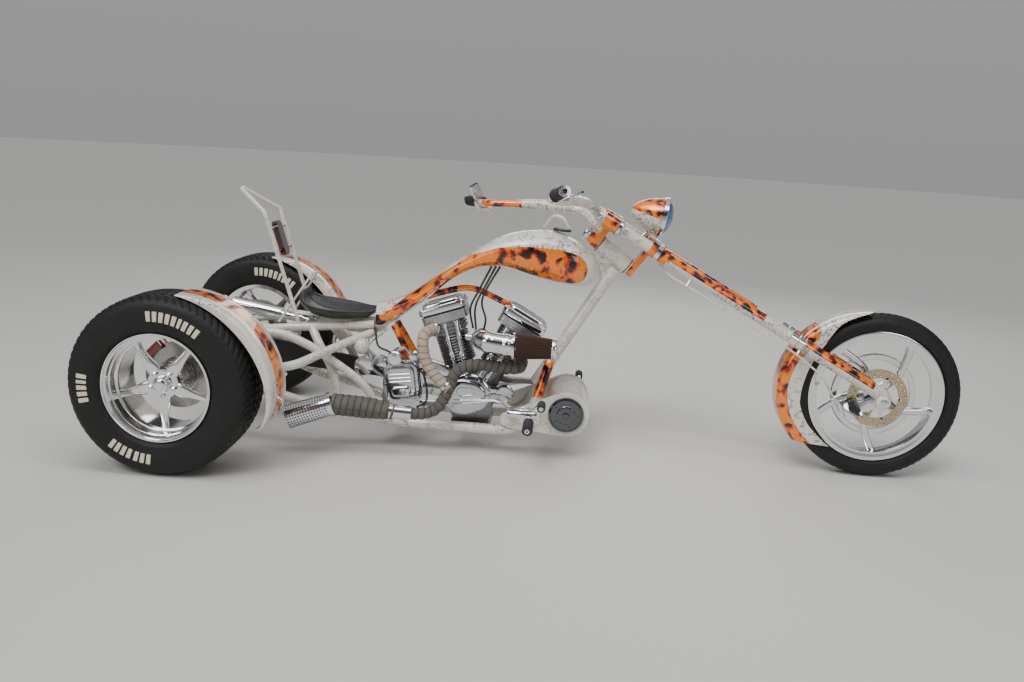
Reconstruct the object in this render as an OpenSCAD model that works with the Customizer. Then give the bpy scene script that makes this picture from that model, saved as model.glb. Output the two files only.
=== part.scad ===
// Motorized trike: a long-fork three-wheeler with a V-twin engine behind a single downtube.
// +X points forward, +Y to the rider's left, +Z up. The origin is on the ground, half way
// between the back of the rear tyres and the front of the front tyre. Sizes are millimetres.

/* [Stance] */
// Distance between the front and rear axles
wheelbase = 2800; // [2300:10:3400]
// Distance between the middles of the two rear tyres
rear_track = 1150; // [950:10:1400]
// Height of the middle of the steering neck
neck_height = 865; // [820:5:920]
// Distance from the front axle back to the middle of the neck
neck_back = 1136; // [1000:2:1370]

/* [Front wheel] */
// Outer diameter of the front tyre
front_tyre_d = 700; // [600:2:820]
// Width of the front tyre
front_tyre_w = 120; // [96:1:150]
// Diameter of the front rim over its flanges
front_rim_d = 558; // [500:2:590]
// Radius of the front axle
front_axle_r = 10; // [8:0.5:12]
// Outer radius of the front brake disc
front_disc_r = 124; // [100:1:150]

/* [Rear wheels] */
// Outer diameter of the rear tyres
rear_tyre_d = 686; // [600:2:760]
// Width of the rear tyres
rear_tyre_w = 255; // [200:1:310]
// Diameter of the rear rims over their flanges
rear_rim_d = 416; // [380:2:450]
// Depth of the spoke face behind the outer flange of the rear rim
rear_dish = 78; // [50:1:95]
// Radius of the rear spindles
rear_spindle_r = 20; // [16:0.5:26]

/* [Fork] */
// Radius of the fork tubes
fork_tube_r = 25; // [20:0.5:30]
// Radius of the fork lowers
fork_lower_r = 30; // [24:0.5:36]
// Angle between the fork tubes and the stem
tree_rake = 7; // [3:0.5:8]
// Distance of the fork tubes in front of the middle of the neck
fork_offset = 111; // [95:1:125]
// Distance of the front axle below the fork's centre line
axle_drop = 24; // [10:1:28]
// Radius of the neck tube
neck_r = 36; // [30:0.5:44]
// Length of the neck tube
neck_len = 160; // [130:1:190]
// Radius of the steering stem
stem_r = 14; // [10:0.5:20]

/* [Handlebar] */
// Radius of the handlebar tubes
bar_r = 21; // [12:0.5:22]
// Radius of the grips
grip_r = 21; // [15:0.5:24]
// Length of each grip
grip_len = 132; // [110:1:160]
// Radius of the bore in each grip's end
bar_end_r = 9.5; // [6:0.5:12]
// Angle by which the bars are turned to the left in their risers
bar_turn = 27; // [0:1:30]

/* [Frame] */
// Radius of the downtube
downtube_r = 26; // [20:0.5:32]
// Radius of the lower rails
rail_r = 22; // [16:0.5:26]
// Radius of the rear stays and top rails
stay_r = 18; // [12:0.5:22]
// Distance of each lower rail from the middle, beside the engine
rail_y = 130; // [122:1:150]
// Height of the lower rails' centre line beside the engine
rail_z = 108; // [100:1:114]
// Radius of the rear axle housing
housing_r = 38; // [30:0.5:46]

/* [Bodywork] */
// Wall thickness of the fenders
fender_wall = 3; // [2:0.5:5]
// Gap between the front tyre's side and the front fender's skirt
fender_gap = 6.7; // [5.5:0.1:12]
// Thickness of the seat
seat_wall = 26; // [18:1:34]
// Radius of the sissy bar's rods
sissy_r = 9; // [6:0.5:12]

/* [Engine] */
// Angle between the two cylinders
v_angle = 48; // [46:1:56]
// Forward lean of the engine
engine_lean = 4.5; // [0:0.5:8]
// Radius of the cylinder fins
fin_r = 72; // [60:1:74]
// Radius of the wrapped exhaust pipes
pipe_r = 26; // [20:0.5:29]
// Radius of the muffler
muffler_r = 46; // [36:0.5:50]
// Radius of the bore in the muffler tip
tip_bore_r = 38; // [28:0.5:40]
// Length of the muffler tip
tip_len = 185; // [140:1:200]

/* [Hidden] */
$fn = 48;

cream = [0.86, 0.83, 0.76];
orange = [0.85, 0.38, 0.05];
chrome = [0.8, 0.82, 0.84];
alloy = [0.62, 0.63, 0.65];
black = [0.08, 0.08, 0.08];
wrap = [0.42, 0.39, 0.35];

// Gap between two pieces that sit on one another
seat_gap = 0.3;
// Radial clearance of a shaft that turns in its bore
run_gap = 0.05;

front_r = front_tyre_d / 2;
rear_r = rear_tyre_d / 2;
rear_x = (rear_r - front_r - wheelbase) / 2;
front_x = rear_x + wheelbase;
front_axle_at = [front_x, 0, front_r];
neck_x = front_x - neck_back;
neck_at = [neck_x, 0, neck_height];

// Fork line: it passes fork_offset in front of the neck and axle_drop above the axle
neck_rise = neck_height - front_r;
neck_reach = norm([neck_back, neck_rise]);
fork_slope = atan2(neck_rise, neck_back) + asin((fork_offset - axle_drop) / neck_reach);
fork_len = sqrt(neck_reach * neck_reach - pow(fork_offset - axle_drop, 2)) + 145;
stem_slope = fork_slope + tree_rake;
leg_seat = front_tyre_w / 2 + fender_gap + fender_wall + seat_gap;
fork_y = leg_seat + fork_lower_r;

// Chassis stations along X, each tied to the neck or to the rear axle
engine_at = [neck_x - 560, 0, 190];
gearbox_at = engine_at + [-295, 0, 85];
joint_x = engine_at[0] - 445;
drum_at = [neck_x - 151, 0, 205];
seat_x = joint_x - 174;
deck = rail_y + rail_r + seat_gap;
rear_in = rear_track / 2 - rear_tyre_w / 2;
stay_y = rear_in - 14 - stay_r;
shock_z = rear_r + 210;

function unit(v) = v / norm(v);
function flat(l) = [for (a = l) for (b = a) b];
function side(p, s) = [p[0], p[1] * s, p[2]];
function sides(l, s) = [for (p = l) side(p, s)];

// A polyline whose corners become quadratic curves that start and end `bend` from each corner
function smooth(p, bend, steps = 3) = [
    for (i = [0 : len(p) - 1])
        if (i == 0 || i == len(p) - 1) p[i]
        else let (a = p[i] + unit(p[i - 1] - p[i]) * bend, b = p[i] + unit(p[i + 1] - p[i]) * bend)
            for (k = [0 : steps]) let (t = k / steps)
                a * pow(1 - t, 2) + p[i] * 2 * t * (1 - t) + b * t * t
];
function tangent(p, i) = i == 0 ? unit(p[1] - p[0])
    : i == len(p) - 1 ? unit(p[i] - p[i - 1])
    : unit(unit(p[i + 1] - p[i]) + unit(p[i] - p[i - 1]));
function across(t) = unit(cross(abs(t[2]) > 0.95 ? [0, 1, 0] : [0, 0, 1], t));

// A closed solid through a list of rings, each with the same number of points
module loft(rings) {
    n = len(rings[0]);
    m = len(rings);
    walls = [for (i = [0 : m - 2]) for (k = [0 : n - 1])
        let (a = i * n + k, b = i * n + (k + 1) % n) for (f = [[a, a + n, b + n], [a, b + n, b]]) f];
    ends = [[for (k = [0 : n - 1]) k], [for (k = [n - 1 : -1 : 0]) (m - 1) * n + k]];
    polyhedron(flat(rings), concat(walls, ends));
}

// A round bar of radius r, or of one radius per point, along the points p
module sweep(p, r, n = 12)
    loft([for (i = [0 : len(p) - 1])
        let (t = tangent(p, i), x = across(t), y = cross(t, x), q = is_list(r) ? r[i] : r)
            [for (k = [0 : n - 1]) p[i] + (x * cos(k * 360 / n) + y * sin(k * 360 / n)) * q]]);

// Puts children's +Z along the line from a to b, with their origin at a
module along(a, b) {
    d = b - a;
    translate(a) rotate([0, acos(d[2] / norm(d)), atan2(d[1], d[0])]) children();
}
module rod(a, b, r) along(a, b) cylinder(h = norm(b - a), r = r);

// A disc or drum whose axis lies along Y, from y0 to y1
module drum(r, y0, y1) translate([0, y0, 0]) rotate([-90, 0, 0]) cylinder(h = y1 - y0, r = r);
module block(lo, hi) translate(lo) cube(hi - lo);

// A flat shape drawn in X and Z, given a thickness from y0 to y1
module upright(y0, y1) translate([0, y1, 0]) rotate([90, 0, 0]) linear_extrude(y1 - y0) children();

// The outline around two circles, as an X-Z shape
module capsule(a, b, ra, rb) {
    d = b - a;
    lean = acos((ra - rb) / norm(d));
    dir = atan2(d[1], d[0]);
    far_side = [for (k = [0 : 20]) let (t = dir + lean + (360 - 2 * lean) * k / 20) a + ra * [cos(t), sin(t)]];
    near_side = [for (k = [0 : 20]) let (t = dir - lean + 2 * lean * k / 20) b + rb * [cos(t), sin(t)]];
    polygon(concat(far_side, near_side));
}
module round_square(w, d, r) {
    square([w, d - 2 * r], center = true);
    square([w - 2 * r, d], center = true);
    for (x = [-1, 1]) for (y = [-1, 1]) translate([x * (w / 2 - r), y * (d / 2 - r)]) circle(r);
}

// A piece made once for the left side and mirrored for the right
module on_side(s) mirror([0, s > 0 ? 0 : 1, 0]) children();

// Frames for the steered parts. In the stem frame +X runs down the stem and +Z points to the fork.
// In the fork frame +X runs down the tubes and the origin is abreast of the axle.
module at_stem() translate(neck_at) rotate([0, stem_slope, 0]) children();
fork_foot = front_axle_at + axle_drop * [sin(fork_slope), 0, cos(fork_slope)];
module at_fork() translate(fork_foot) rotate([0, fork_slope, 0]) children();
function stem_point(p) = neck_at + [p[0] * cos(stem_slope) + p[2] * sin(stem_slope), p[1],
    -p[0] * sin(stem_slope) + p[2] * cos(stem_slope)];
function fork_point(p) = fork_foot + [p[0] * cos(fork_slope) + p[2] * sin(fork_slope), p[1],
    -p[0] * sin(fork_slope) + p[2] * cos(fork_slope)];

// ---- Frame ----

downtube_top = neck_at + [8, 0, -55];
downtube_low = [neck_x - 293, 0, 292];
fork_joint = [neck_x - 215, 0, 425];

module neck_tube() at_stem() rotate([0, 90, 0]) cylinder(h = neck_len, r = neck_r, center = true);

module neck_and_downtube() color(cream) difference() {
    union() {
        neck_tube();
        rod(downtube_top, downtube_low, downtube_r);
        // Strut from the tank's nose to the downtube
        rod(neck_at + [-8, 0, -30], neck_at + [-120, 0, -20], 15);
        rod(neck_at + [-50, 0, -42], neck_at + [-30, 0, -140], 12);
    }
    at_stem() rotate([0, 90, 0]) cylinder(h = neck_len * 2, r = stem_r + run_gap, center = true);
    tank_shell();
    engine_front_mount(seat_gap);
}

rail_path = [
    fork_joint + [-8, 16, 5],
    fork_joint + [-22, 66, -30],
    [neck_x - 274, rail_y - 20, 255],
    [neck_x - 328, rail_y, 142],
    [neck_x - 395, rail_y, rail_z],
    [gearbox_at[0] - 10, rail_y, rail_z],
    [joint_x - 105, rail_y + 70, 172],
    [rear_x + 383, rail_y + 95, 197],
    [rear_x + 20, rail_y + 110, rear_r - 20]
];
module lower_rail_tube(s) sweep(smooth(sides(rail_path, s), 24, 2), rail_r);
module lower_rail(s) color(cream) difference() {
    lower_rail_tube(s);
    rod(downtube_top, downtube_low, downtube_r);
    axle_tube();
}
module right_lower_rail() lower_rail(-1);
module left_lower_rail() lower_rail(1);

top_path = [[joint_x + 8, 38, 505], [joint_x - 240, 100, 488], [joint_x - 345, 108, 480]];
shock_front = [joint_x - 275, 0, 492];
module top_rail_tube(s) sweep(sides(top_path, s), stay_r);
module top_rails() color(cream) difference() {
    union() {
        for (s = [-1, 1]) top_rail_tube(s);
        rod(shock_front - [0, 100, 0], shock_front + [0, 100, 0], 12);
        // Seat mount behind the tank's tail
        block([joint_x - 40, -22, 470], [joint_x + 60, 22, 524.5]);
    }
    tank_shell();
}

stay_path = [[joint_x + 4, 42, 468], [joint_x - 85, 140, 440], [rear_x + 421, stay_y - 8, 387],
    [rear_x + 90, stay_y, rear_r + 12], [rear_x + 10, stay_y, rear_r + 2]];
post_path = [top_path[1] + [0, 4, -4], [joint_x - 199, 142, 424], [joint_x - 118, 180, 311],
    [joint_x - 101, rail_y + 70, 176]];
arch_path = [[gearbox_at[0] - 66, rail_y + 8, rail_z + 14], [gearbox_at[0] - 148, 180, 282], [joint_x - 221, 200, 431],
    [rear_x + 289, 200, 484], [rear_x + 60, 200, 440], [rear_x + 6, 200, rear_r + 20]];
module rear_stays(s) {
    color(cream) difference() {
        sweep(smooth(sides(stay_path, s), 30), stay_r);
        axle_tube();
        tank_shell();
        top_rail_tube(s);
    }
    color(cream) difference() {
        sweep(smooth(sides(post_path, s), 30), stay_r);
        top_rail_tube(s);
        lower_rail_tube(s);
    }
    color(cream) difference() {
        sweep(smooth(sides(arch_path, s), 40), stay_r);
        axle_tube();
        lower_rail_tube(s);
    }
}
module right_rear_stays() rear_stays(-1);
module left_rear_stays() rear_stays(1);

plate_z = rail_z - 20;
module cradle_plates() color(cream) {
    difference() {
        union() {
            block([engine_at[0] - 85, -rail_y, plate_z], [engine_at[0] + 85, rail_y, plate_z + 10]);
            block([gearbox_at[0] - 80, -rail_y, plate_z + 12], [gearbox_at[0] + 80, rail_y, plate_z + 22]);
        }
        for (s = [-1, 1]) lower_rail_tube(s);
    }
    // Tubes that arch over the engine and brace the gearbox to the tank's tail
    color(orange) difference() {
        sweep(smooth([[engine_at[0] - 245, 0, 626], [engine_at[0] - 150, 0, 660],
            [engine_at[0] - 30, 0, 694], [engine_at[0] + 150, 0, 618]], 45), 14);
        tank_shell();
        on_cylinder(1) rocker_solid(seat_gap);
        on_cylinder(-1) rocker_solid(seat_gap);
    }
    for (s = [-1, 1]) color(orange) difference() {
        rod([gearbox_at[0] - 55, s * 40, 510], [gearbox_at[0] + 40, s * 62, 340], 14);
        tank_shell();
        gearbox_solid(seat_gap);
    }
}

// ---- Rear axle ----

housing_end = rear_in - 8;
module axle_tube() translate([rear_x, 0, rear_r]) {
    drum(housing_r, -housing_end, housing_end);
    for (s = [-1, 1]) drum_between(60, s * (housing_end - 14), s * housing_end);
}
module rear_axle() color(cream) difference() {
    union() {
        axle_tube();
        translate([rear_x, 0, rear_r]) {
            drum(105, -62, 62);
            drum(78, -85, 85);
            for (s = [-1, 1]) {
                drum_between(rear_spindle_r, s * (housing_end - 5), s * (rear_track / 2 + 30));
            }
        }
        // Tower for the shock's rear eye
        for (s = [-1, 1]) translate([rear_x, 0, 0]) upright_pair(s, 16, 24)
            capsule([0, rear_r + 90], [-8, shock_z], 34, 20);
    }
    translate([rear_x - 8, 0, shock_z]) drum(6, -60, 60);
}
module drum_between(r, a, b) drum(r, min(a, b), max(a, b));
module upright_pair(s, a, b) upright(min(s * a, s * b), max(s * a, s * b)) children();

module rear_caliper(s) on_side(s) translate([rear_x, 0, rear_r]) difference() {
    rotate([0, -135, 0]) translate([0, 0, 0])
        block([92, housing_end - 12, -38], [150, disc_out + 16, 38]);
    drum(150, disc_in - 3, disc_out + 3);
    drum(60 + seat_gap, housing_end - 20, housing_end + 1);
    drum(118, disc_out, disc_out + 40);
}
module caliper_arm(s) on_side(s) translate([rear_x, 0, rear_r]) difference() {
    rotate([0, -135, 0]) block([30, housing_end - 12, -20], [96, housing_end, 20]);
    drum(60 + seat_gap, housing_end - 20, housing_end + 1);
}
module rear_calipers() color([0.6, 0.05, 0.03]) for (s = [-1, 1]) {
    rear_caliper(s);
    caliper_arm(s);
}

// ---- Rear wheels ----

rear_rim_half = rear_tyre_w / 2 - 12;
rear_flange_r = rear_rim_d / 2;
rear_bead_r = rear_flange_r - 10;
disc_in = rear_track / 2 - rear_rim_half + 12;
disc_out = disc_in + 10;

// Outline of one half of a tyre, as radius and distance from its middle. Above the flange it is an
// arc from the widest place to the tread, rounder as round rises from 0.4 to 1.
tyre_steps = 9;
function tyre_half(bead_r, seat_half, flange_r, half, r, round) = let (
        wide_r = flange_r + (r - flange_r) * 0.42)
    concat([[bead_r + 0.3, 0], [bead_r + 0.3, seat_half], [flange_r + 1, seat_half],
        [flange_r + (r - flange_r) * 0.12, half - 6]],
        [for (i = [0 : tyre_steps]) let (a = 90 * i / tyre_steps)
            [wide_r + (r - wide_r) * pow(sin(a), round), half * pow(cos(a), round)]]);
module tyre(bead_r, seat_half, flange_r, half, r, round) rotate([-90, 0, 0]) rotate_extrude($fn = 96) {
    outline = tyre_half(bead_r, seat_half, flange_r, half, r, round);
    polygon(concat(outline, [for (i = [len(outline) - 2 : -1 : 1]) [outline[i][0], -outline[i][1]]]));
}

module rear_tyre(s) color(black) translate([rear_x, s * rear_track / 2, rear_r])
    tyre(rear_bead_r, rear_rim_half - 8, rear_flange_r, rear_tyre_w / 2, rear_r, 0.42);
module right_rear_tyre() rear_tyre(-1);
module left_rear_tyre() rear_tyre(1);

// Rim turned about Y: bead barrel with a flange on each side. The open face is at +Y.
module rim_barrel(flange_r, bead_r, half, wall) rotate([-90, 0, 0]) rotate_extrude($fn = 96)
    polygon([[bead_r - wall, -half], [flange_r, -half], [flange_r, -half + 7.8], [bead_r, -half + 7.8],
        [bead_r, half - 7.8], [flange_r, half - 7.8], [flange_r, half], [bead_r - wall, half]]);

rear_face = rear_rim_half - rear_dish;
module rear_rim(s) color(chrome) on_side(s) translate([rear_x, rear_track / 2, rear_r]) difference() {
    union() {
        rim_barrel(rear_flange_r, rear_bead_r, rear_rim_half, 9);
        drum(62, -46, rear_face + 9);
        drum(34, rear_face + 2, rear_face + 40);
        drum(rear_bead_r - 5, rear_face - 26, rear_face - 14);
        for (i = [0 : 4]) rotate([0, i * 72 + 90, 0]) {
            translate([0, rear_face - 8, 0]) rotate([-90, 0, 0])
                linear_extrude(16) polygon([[40, -26], [rear_bead_r - 5, -15], [rear_bead_r - 5, 15], [40, 26]]);
            translate([0, 0, 46]) drum(9, rear_face + 6, rear_face + 22);
        }
        // Brake disc and its bell
        drum(132, disc_in - rear_track / 2, disc_out - rear_track / 2);
        drum(70, disc_out - rear_track / 2 - 2, -29);
    }
    drum(rear_spindle_r + run_gap, -rear_track, 31);
    // Openings between the spokes
    for (i = [0 : 4]) rotate([0, i * 72 + 126, 0]) translate([0, -70, 0]) rotate([-90, 0, 0])
        linear_extrude(rear_face + 60) intersection() {
            difference() { circle(rear_bead_r - 14); circle(80); }
            polygon([[30, 0], [rear_bead_r, -80], [rear_bead_r, 80]]);
        }
}
module right_rear_rim() rear_rim(-1);
module left_rear_rim() rear_rim(1);

// ---- Fenders ----

// A fender's crown around a wheel of radius r, between the angles a[0] and a[1]: it stands off the
// tyre by gaps[0] at the first end and gaps[1] at the other, and swells out by swell between them.
// lean moves the fullest place towards the first end (below 1) or the other end (above 1).
function crown(t, r, gaps, swell, lean) =
    r + gaps[0] + (gaps[1] - gaps[0]) * t + swell * sin(180 * pow(t, lean));
function polar(r, a) = r * [cos(a), sin(a)];
crown_steps = 20;
module fender_side(a, r, gaps, swell, lean, edge) polygon(concat(
    [for (i = [0 : crown_steps]) let (t = i / crown_steps)
        polar(crown(t, r, gaps, swell, lean), a[0] + (a[1] - a[0]) * t)],
    edge));

// The shell: its sides reach in from the crown to the edge, which is a list of points
module fender_shell(a, r, gaps, swell, lean, edge, y0, y1) difference() {
    upright(y0, y1) fender_side(a, r, gaps, swell, lean, edge);
    upright(y0 + fender_wall, y1 - fender_wall)
        fender_side([a[0] - 1, a[1] + 1], r, gaps - [fender_wall, fender_wall], swell, lean,
            [polar(r + gaps[1], a[1] + 25), polar(r * 0.3, a[1] + 25), polar(r * 0.3, a[0] - 1)]);
}

rear_fender_y0 = rear_in + 8;
rear_fender_y1 = rear_track / 2 + rear_tyre_w / 2 - 60;
rear_arc = [-22, 80];
rear_gaps = [46, 10];
rear_swell = 43;
rear_lean = 0.5;
rear_edge = [for (i = [crown_steps : -1 : 0]) let (t = i / crown_steps)
    polar(crown(t, rear_r, rear_gaps, rear_swell, rear_lean) - 5 - 36 * sin(180 * t),
        rear_arc[0] + (rear_arc[1] - rear_arc[0]) * t)];
module rear_fender(s) color(cream) on_side(s) difference() {
    union() {
        translate([rear_x, 0, rear_r])
            fender_shell(rear_arc, rear_r, rear_gaps, rear_swell, rear_lean, rear_edge,
                rear_fender_y0, rear_fender_y1);
        // Bracket to the stay
        rod([rear_x + 365, stay_y - 4, rear_r + 32], [rear_x + 415, rear_fender_y0 + 2, rear_r + 28], 8);
    }
    sweep(smooth(stay_path, 30), stay_r + seat_gap);
}
module right_rear_fender() rear_fender(-1);
module left_rear_fender() rear_fender(1);

front_fender_half = front_tyre_w / 2 + fender_gap + fender_wall;
// Lower edge of the front fender's sides: angle, and height above the tyre's tread
front_edge = [[232, -68], [218, -62], [205, -46], [188, -31], [168, -36], [150, -34], [137, -25],
    [123, 8], [112, 12]];
module front_fender() color(cream) translate(front_axle_at)
    fender_shell([100, 213], front_r, [17, 39], 34, 1.35, [for (e = front_edge)
        polar(front_r + e[1], e[0])], -front_fender_half, front_fender_half);

// ---- Bodywork ----

// Stations of the tank from nose to tail: x from the neck, top, bottom, half width
tank_stations = [
    [-72, 838, 786, 30], [-80, 862, 746, 62], [-112, 884, 727, 90], [-168, 922, 726, 112],
    [-258, 950, 738, 121], [-348, 949, 757, 121], [-438, 930, 782, 115], [-518, 893, 784, 106],
    [-598, 842, 760, 98], [-678, 790, 712, 88], [-758, 716, 642, 77], [-838, 654, 575, 66],
    [-918, 614, 515, 55], [-988, 594, 466, 44]
];
function tank_ring(s) = [for (k = [0 : 19]) let (a = k * 18, c = cos(a), d = sin(a))
    [neck_x + s[0], -s[3] * sign(c) * pow(abs(c), 0.8),
        (s[1] + s[2]) / 2 + (s[1] - s[2]) / 2 * sign(d) * pow(abs(d), 0.85) + neck_height - 865]];
module tank_shell() loft([for (s = tank_stations) tank_ring(s)]);
module fuel_tank() {
    color(orange) tank_shell();
    color(black) difference() {
        translate([neck_x - 224, 0, 940]) cylinder(h = 32, r = 34);
        tank_shell();
    }
}

// Stations of the seat from its back to its front: x from seat_x, height, half width, edge rise
seat_stations = [[-124, 628, 70, 10], [-118, 590, 104, 26], [-90, 560, 128, 40], [-45, 543, 140, 48],
    [15, 536, 140, 48], [80, 540, 122, 40], [135, 551, 92, 26], [180, 566, 56, 10]];
function seat_ring(i) = let (s = seat_stations[i], q = seat_stations, n = len(q) - 1,
    d = unit([q[min(i + 1, n)][0] - q[max(i - 1, 0)][0], 0, q[min(i + 1, n)][1] - q[max(i - 1, 0)][1]]),
    u = [-d[2], 0, d[0]], c = [seat_x + s[0], 0, s[1]])
    concat([for (k = [4 : -1 : -4]) c + [0, k / 4 * s[2], 0] + u * s[3] * k * k / 16],
        [for (k = [-4 : 4]) c + [0, k / 4 * s[2], 0] + u * (s[3] * k * k / 16 - seat_wall)]);
module seat() color([0.12, 0.12, 0.13]) loft([for (i = [0 : len(seat_stations) - 1]) seat_ring(i)]);

sissy_path = [[joint_x - 300, 106, 480 + stay_r], [joint_x - 303, 106, 520], [joint_x - 448, 104, 957],
    [rear_x + 82, 14, 1041]];
module sissy_rods(r) sweep(smooth(concat(sissy_path,
    [for (i = [3 : -1 : 0]) side(sissy_path[i], -1)]), 9, 2), r, 10);
module sissy_bar() color(cream) difference() {
    sissy_rods(sissy_r);
    for (s = [-1, 1]) top_rail_tube(s);
}

lamp_at = [joint_x - 410, 0, 842];
module tail_lamp() color([0.15, 0.03, 0.03]) {
    translate(lamp_at) rotate([0, -18, 0]) rotate([0, -90, 0])
        linear_extrude(24, center = true) round_square(150, 62, 28);
    // Arms that hold the lamp between the rods
    difference() {
        for (z = [-44, 44]) rod(lamp_at + [-z / 3, -103, z], lamp_at + [-z / 3, 103, z], 5);
        sissy_rods(sissy_r + seat_gap);
    }
}

module rear_shock() {
    rear_eye = [rear_x - 8, 0, shock_z];
    mid = (shock_front * 2 + rear_eye) / 3;
    color(chrome) difference() {
        union() {
            rod(mid, rear_eye - unit(rear_eye - mid) * 52, 30);
            rod(shock_front, rear_eye - unit(rear_eye - mid) * 8, 13);
            rod(shock_front, mid, 19);
            translate(shock_front) drum(22, -15, 15);
            translate(rear_eye) drum(19, -15.7, 15.7);
        }
        translate(shock_front) drum(12 + seat_gap, -60, 60);
        translate(rear_eye) drum(6, -60, 60);
    }
}

// ---- Engine and drive ----

case_r = 92;
// Half width of the crankcase and the gearbox
case_half = 84;
module on_cylinder(s) translate(engine_at) rotate([0, engine_lean + s * v_angle / 2, 0]) children();
module engine_front_mount(grow = 0) translate(engine_at)
    block([70, -16 - grow, 96], [262, 16 + grow, 116]);

module crankcase() color(alloy) difference() {
    union() {
        translate(engine_at) {
            drum(case_r, -case_half, case_half);
            block([-80, -case_half, plate_z + 10 + seat_gap - engine_at[2]], [80, case_half, -60]);
            block([70, -60, 10], [140, 60, 70]);
        }
        for (s = [-1, 1]) on_cylinder(s) cylinder(h = 181, r = 56);
        engine_front_mount();
    }
    rod(downtube_top, downtube_low, downtube_r + seat_gap);
}

fin_base = 181 + seat_gap;
fin_step = 12;
fin_count = 11;
head_base = fin_base + 8 + fin_step * fin_count;
rocker_base = head_base + 52 + seat_gap;
module cylinder_and_head(s) color(alloy) difference() {
    on_cylinder(s) {
        translate([0, 0, fin_base]) cylinder(h = head_base - fin_base, r = fin_r - 14);
        for (i = [0 : fin_count - 1]) translate([0, 0, fin_base + 5 + i * fin_step]) cylinder(h = 5, r = fin_r);
        translate([0, 0, head_base]) linear_extrude(rocker_base - seat_gap - head_base)
            round_square(128, 132, 20);
        for (i = [0 : 2]) translate([0, 0, head_base + 5 + i * 16]) linear_extrude(6)
            round_square(150, 150, 24);
    }
    intake_solid(seat_gap);
}
module rear_cylinder() cylinder_and_head(-1);
module front_cylinder() cylinder_and_head(1);

module rocker_solid(grow = 0) translate([0, 0, rocker_base - grow]) {
    linear_extrude(40 + grow) round_square(196 + 2 * grow, 142 + 2 * grow, 22);
    translate([0, 0, 39]) linear_extrude(34 + grow) round_square(206 + 2 * grow, 150 + 2 * grow, 26);
    translate([0, 0, 72]) linear_extrude(18 + 2 * grow) round_square(170, 118, 22);
}
module rear_rocker_box() color(chrome) on_cylinder(-1) rocker_solid();
module front_rocker_box() color(chrome) on_cylinder(1) rocker_solid();

module cam_cover() color(chrome) translate(engine_at + [-13, 0, 55]) {
    upright(-128, -case_half - seat_gap) capsule([-18, 0], [22, 6], 88, 78);
    upright(-146, -127) capsule([-18, 0], [22, 6], 72, 62);
    translate([158, 0, 14]) drum(37, -120, -90);
    upright(-112, -case_half - seat_gap) capsule([60, 4], [158, 14], 34, 20);
}

module gearbox_solid(grow = 0) translate(gearbox_at)
    block([-85 - grow, -case_half - grow, -157], [85 + grow, case_half + grow, 84 + grow]);
module transmission() {
    color(alloy) translate(gearbox_at)
        block([-85, -case_half, plate_z + 22 + seat_gap - gearbox_at[2]], [85, case_half, 84]);
    color(chrome) translate(gearbox_at) {
        upright(-118, -case_half) rotate(-8) round_square(150, 178, 38);
        upright(-134, -117) rotate(-8) round_square(122, 150, 30);
    }
}

module primary_case() color(chrome) translate(engine_at) {
    upright(case_half + seat_gap, 118) capsule([0, 18], gearbox_xz, 62, 84);
    upright(117, 134) capsule([0, 18], gearbox_xz, 50, 70);
}
gearbox_xz = [gearbox_at[0] - engine_at[0], gearbox_at[2] - engine_at[2]];

belt_y = 96;
axle_xz = [rear_x - gearbox_at[0], rear_r - gearbox_at[2]];
module final_drive() color(black) difference() {
    translate(gearbox_at) translate([-118, 0, 0])
        upright(belt_y, belt_y + 22) capsule([0, -6], axle_xz + [118, 0], 30, 62);
    translate([rear_x, 0, rear_r]) drum(housing_r, 0, 400);
    translate(engine_at) upright(81, 140) capsule([0, 18], gearbox_xz, 62 + seat_gap, 84 + seat_gap);
}

throat = [engine_at[0] + 30, -40, 492];
module intake_solid(grow = 0) {
    rod(throat + [0, 60, 0], throat + [0, -60, 0], 27 + grow);
    rod(throat + [-70, 0, -14], throat + [80, 0, -14], 15 + grow);
}
filter_at = engine_at + [172, -200, 300];
module air_intake() {
    color(chrome) difference() {
        union() {
            intake_solid();
            sweep(smooth([throat + [0, -58, 0], throat + [0, -160, 16], filter_at + [2, 0, 2]], 60, 4),
                [for (i = [0 : 6]) 30 + i]);
        }
        on_cylinder(1) head_space();
        on_cylinder(-1) head_space();
    }
    color([0.3, 0.22, 0.18]) translate(filter_at) rotate([0, 90, 0]) {
        cylinder(h = 12, r = 64);
        translate([0, 0, 12]) cylinder(h = 150, r1 = 58, r2 = 41);
        translate([0, 0, 162]) cylinder(h = 16, r = 45);
    }
}
module head_space() {
    translate([0, 0, head_base - 1]) linear_extrude(rocker_base - head_base + 2) round_square(128.6, 132.6, 20);
    rocker_solid(seat_gap);
}

collector = [engine_at[0] - 85, -220, 272];
module front_pipe() sweep(smooth([engine_at + [200, -66, 262], engine_at + [216, -150, 192],
    engine_at + [8, -178, 208], engine_at + [-62, -196, 176], collector,
    engine_at + [-130, -240, 8], engine_at + [-210, -254, -4], engine_at + [-282, -266, 5]], 26, 2), pipe_r);
module front_exhaust() color(wrap) {
    difference() {
        union() {
            front_pipe();
            sweep([engine_at + [-270, -264, 3], engine_at + [-330, -274, 8], engine_at + [-400, -282, 17],
                tip_start + tip_dir * 30], [pipe_r, muffler_r - 6, muffler_r, muffler_r], 20);
        }
        on_cylinder(1) cylinder_space();
        cam_space();
        along(tip_start, tip_start + tip_dir) cylinder(h = tip_len, r = muffler_r * 2);
    }
}
module rear_exhaust() color([0.7, 0.62, 0.54]) difference() {
    sweep(smooth([engine_at + [-168, -62, 318], engine_at + [-212, -150, 312], engine_at + [-190, -184, 205],
        engine_at + [-130, -205, 140], collector + [8, -4, 18]], 34, 3), pipe_r);
    on_cylinder(-1) cylinder_space();
    front_pipe();
    cam_space();
}
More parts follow.
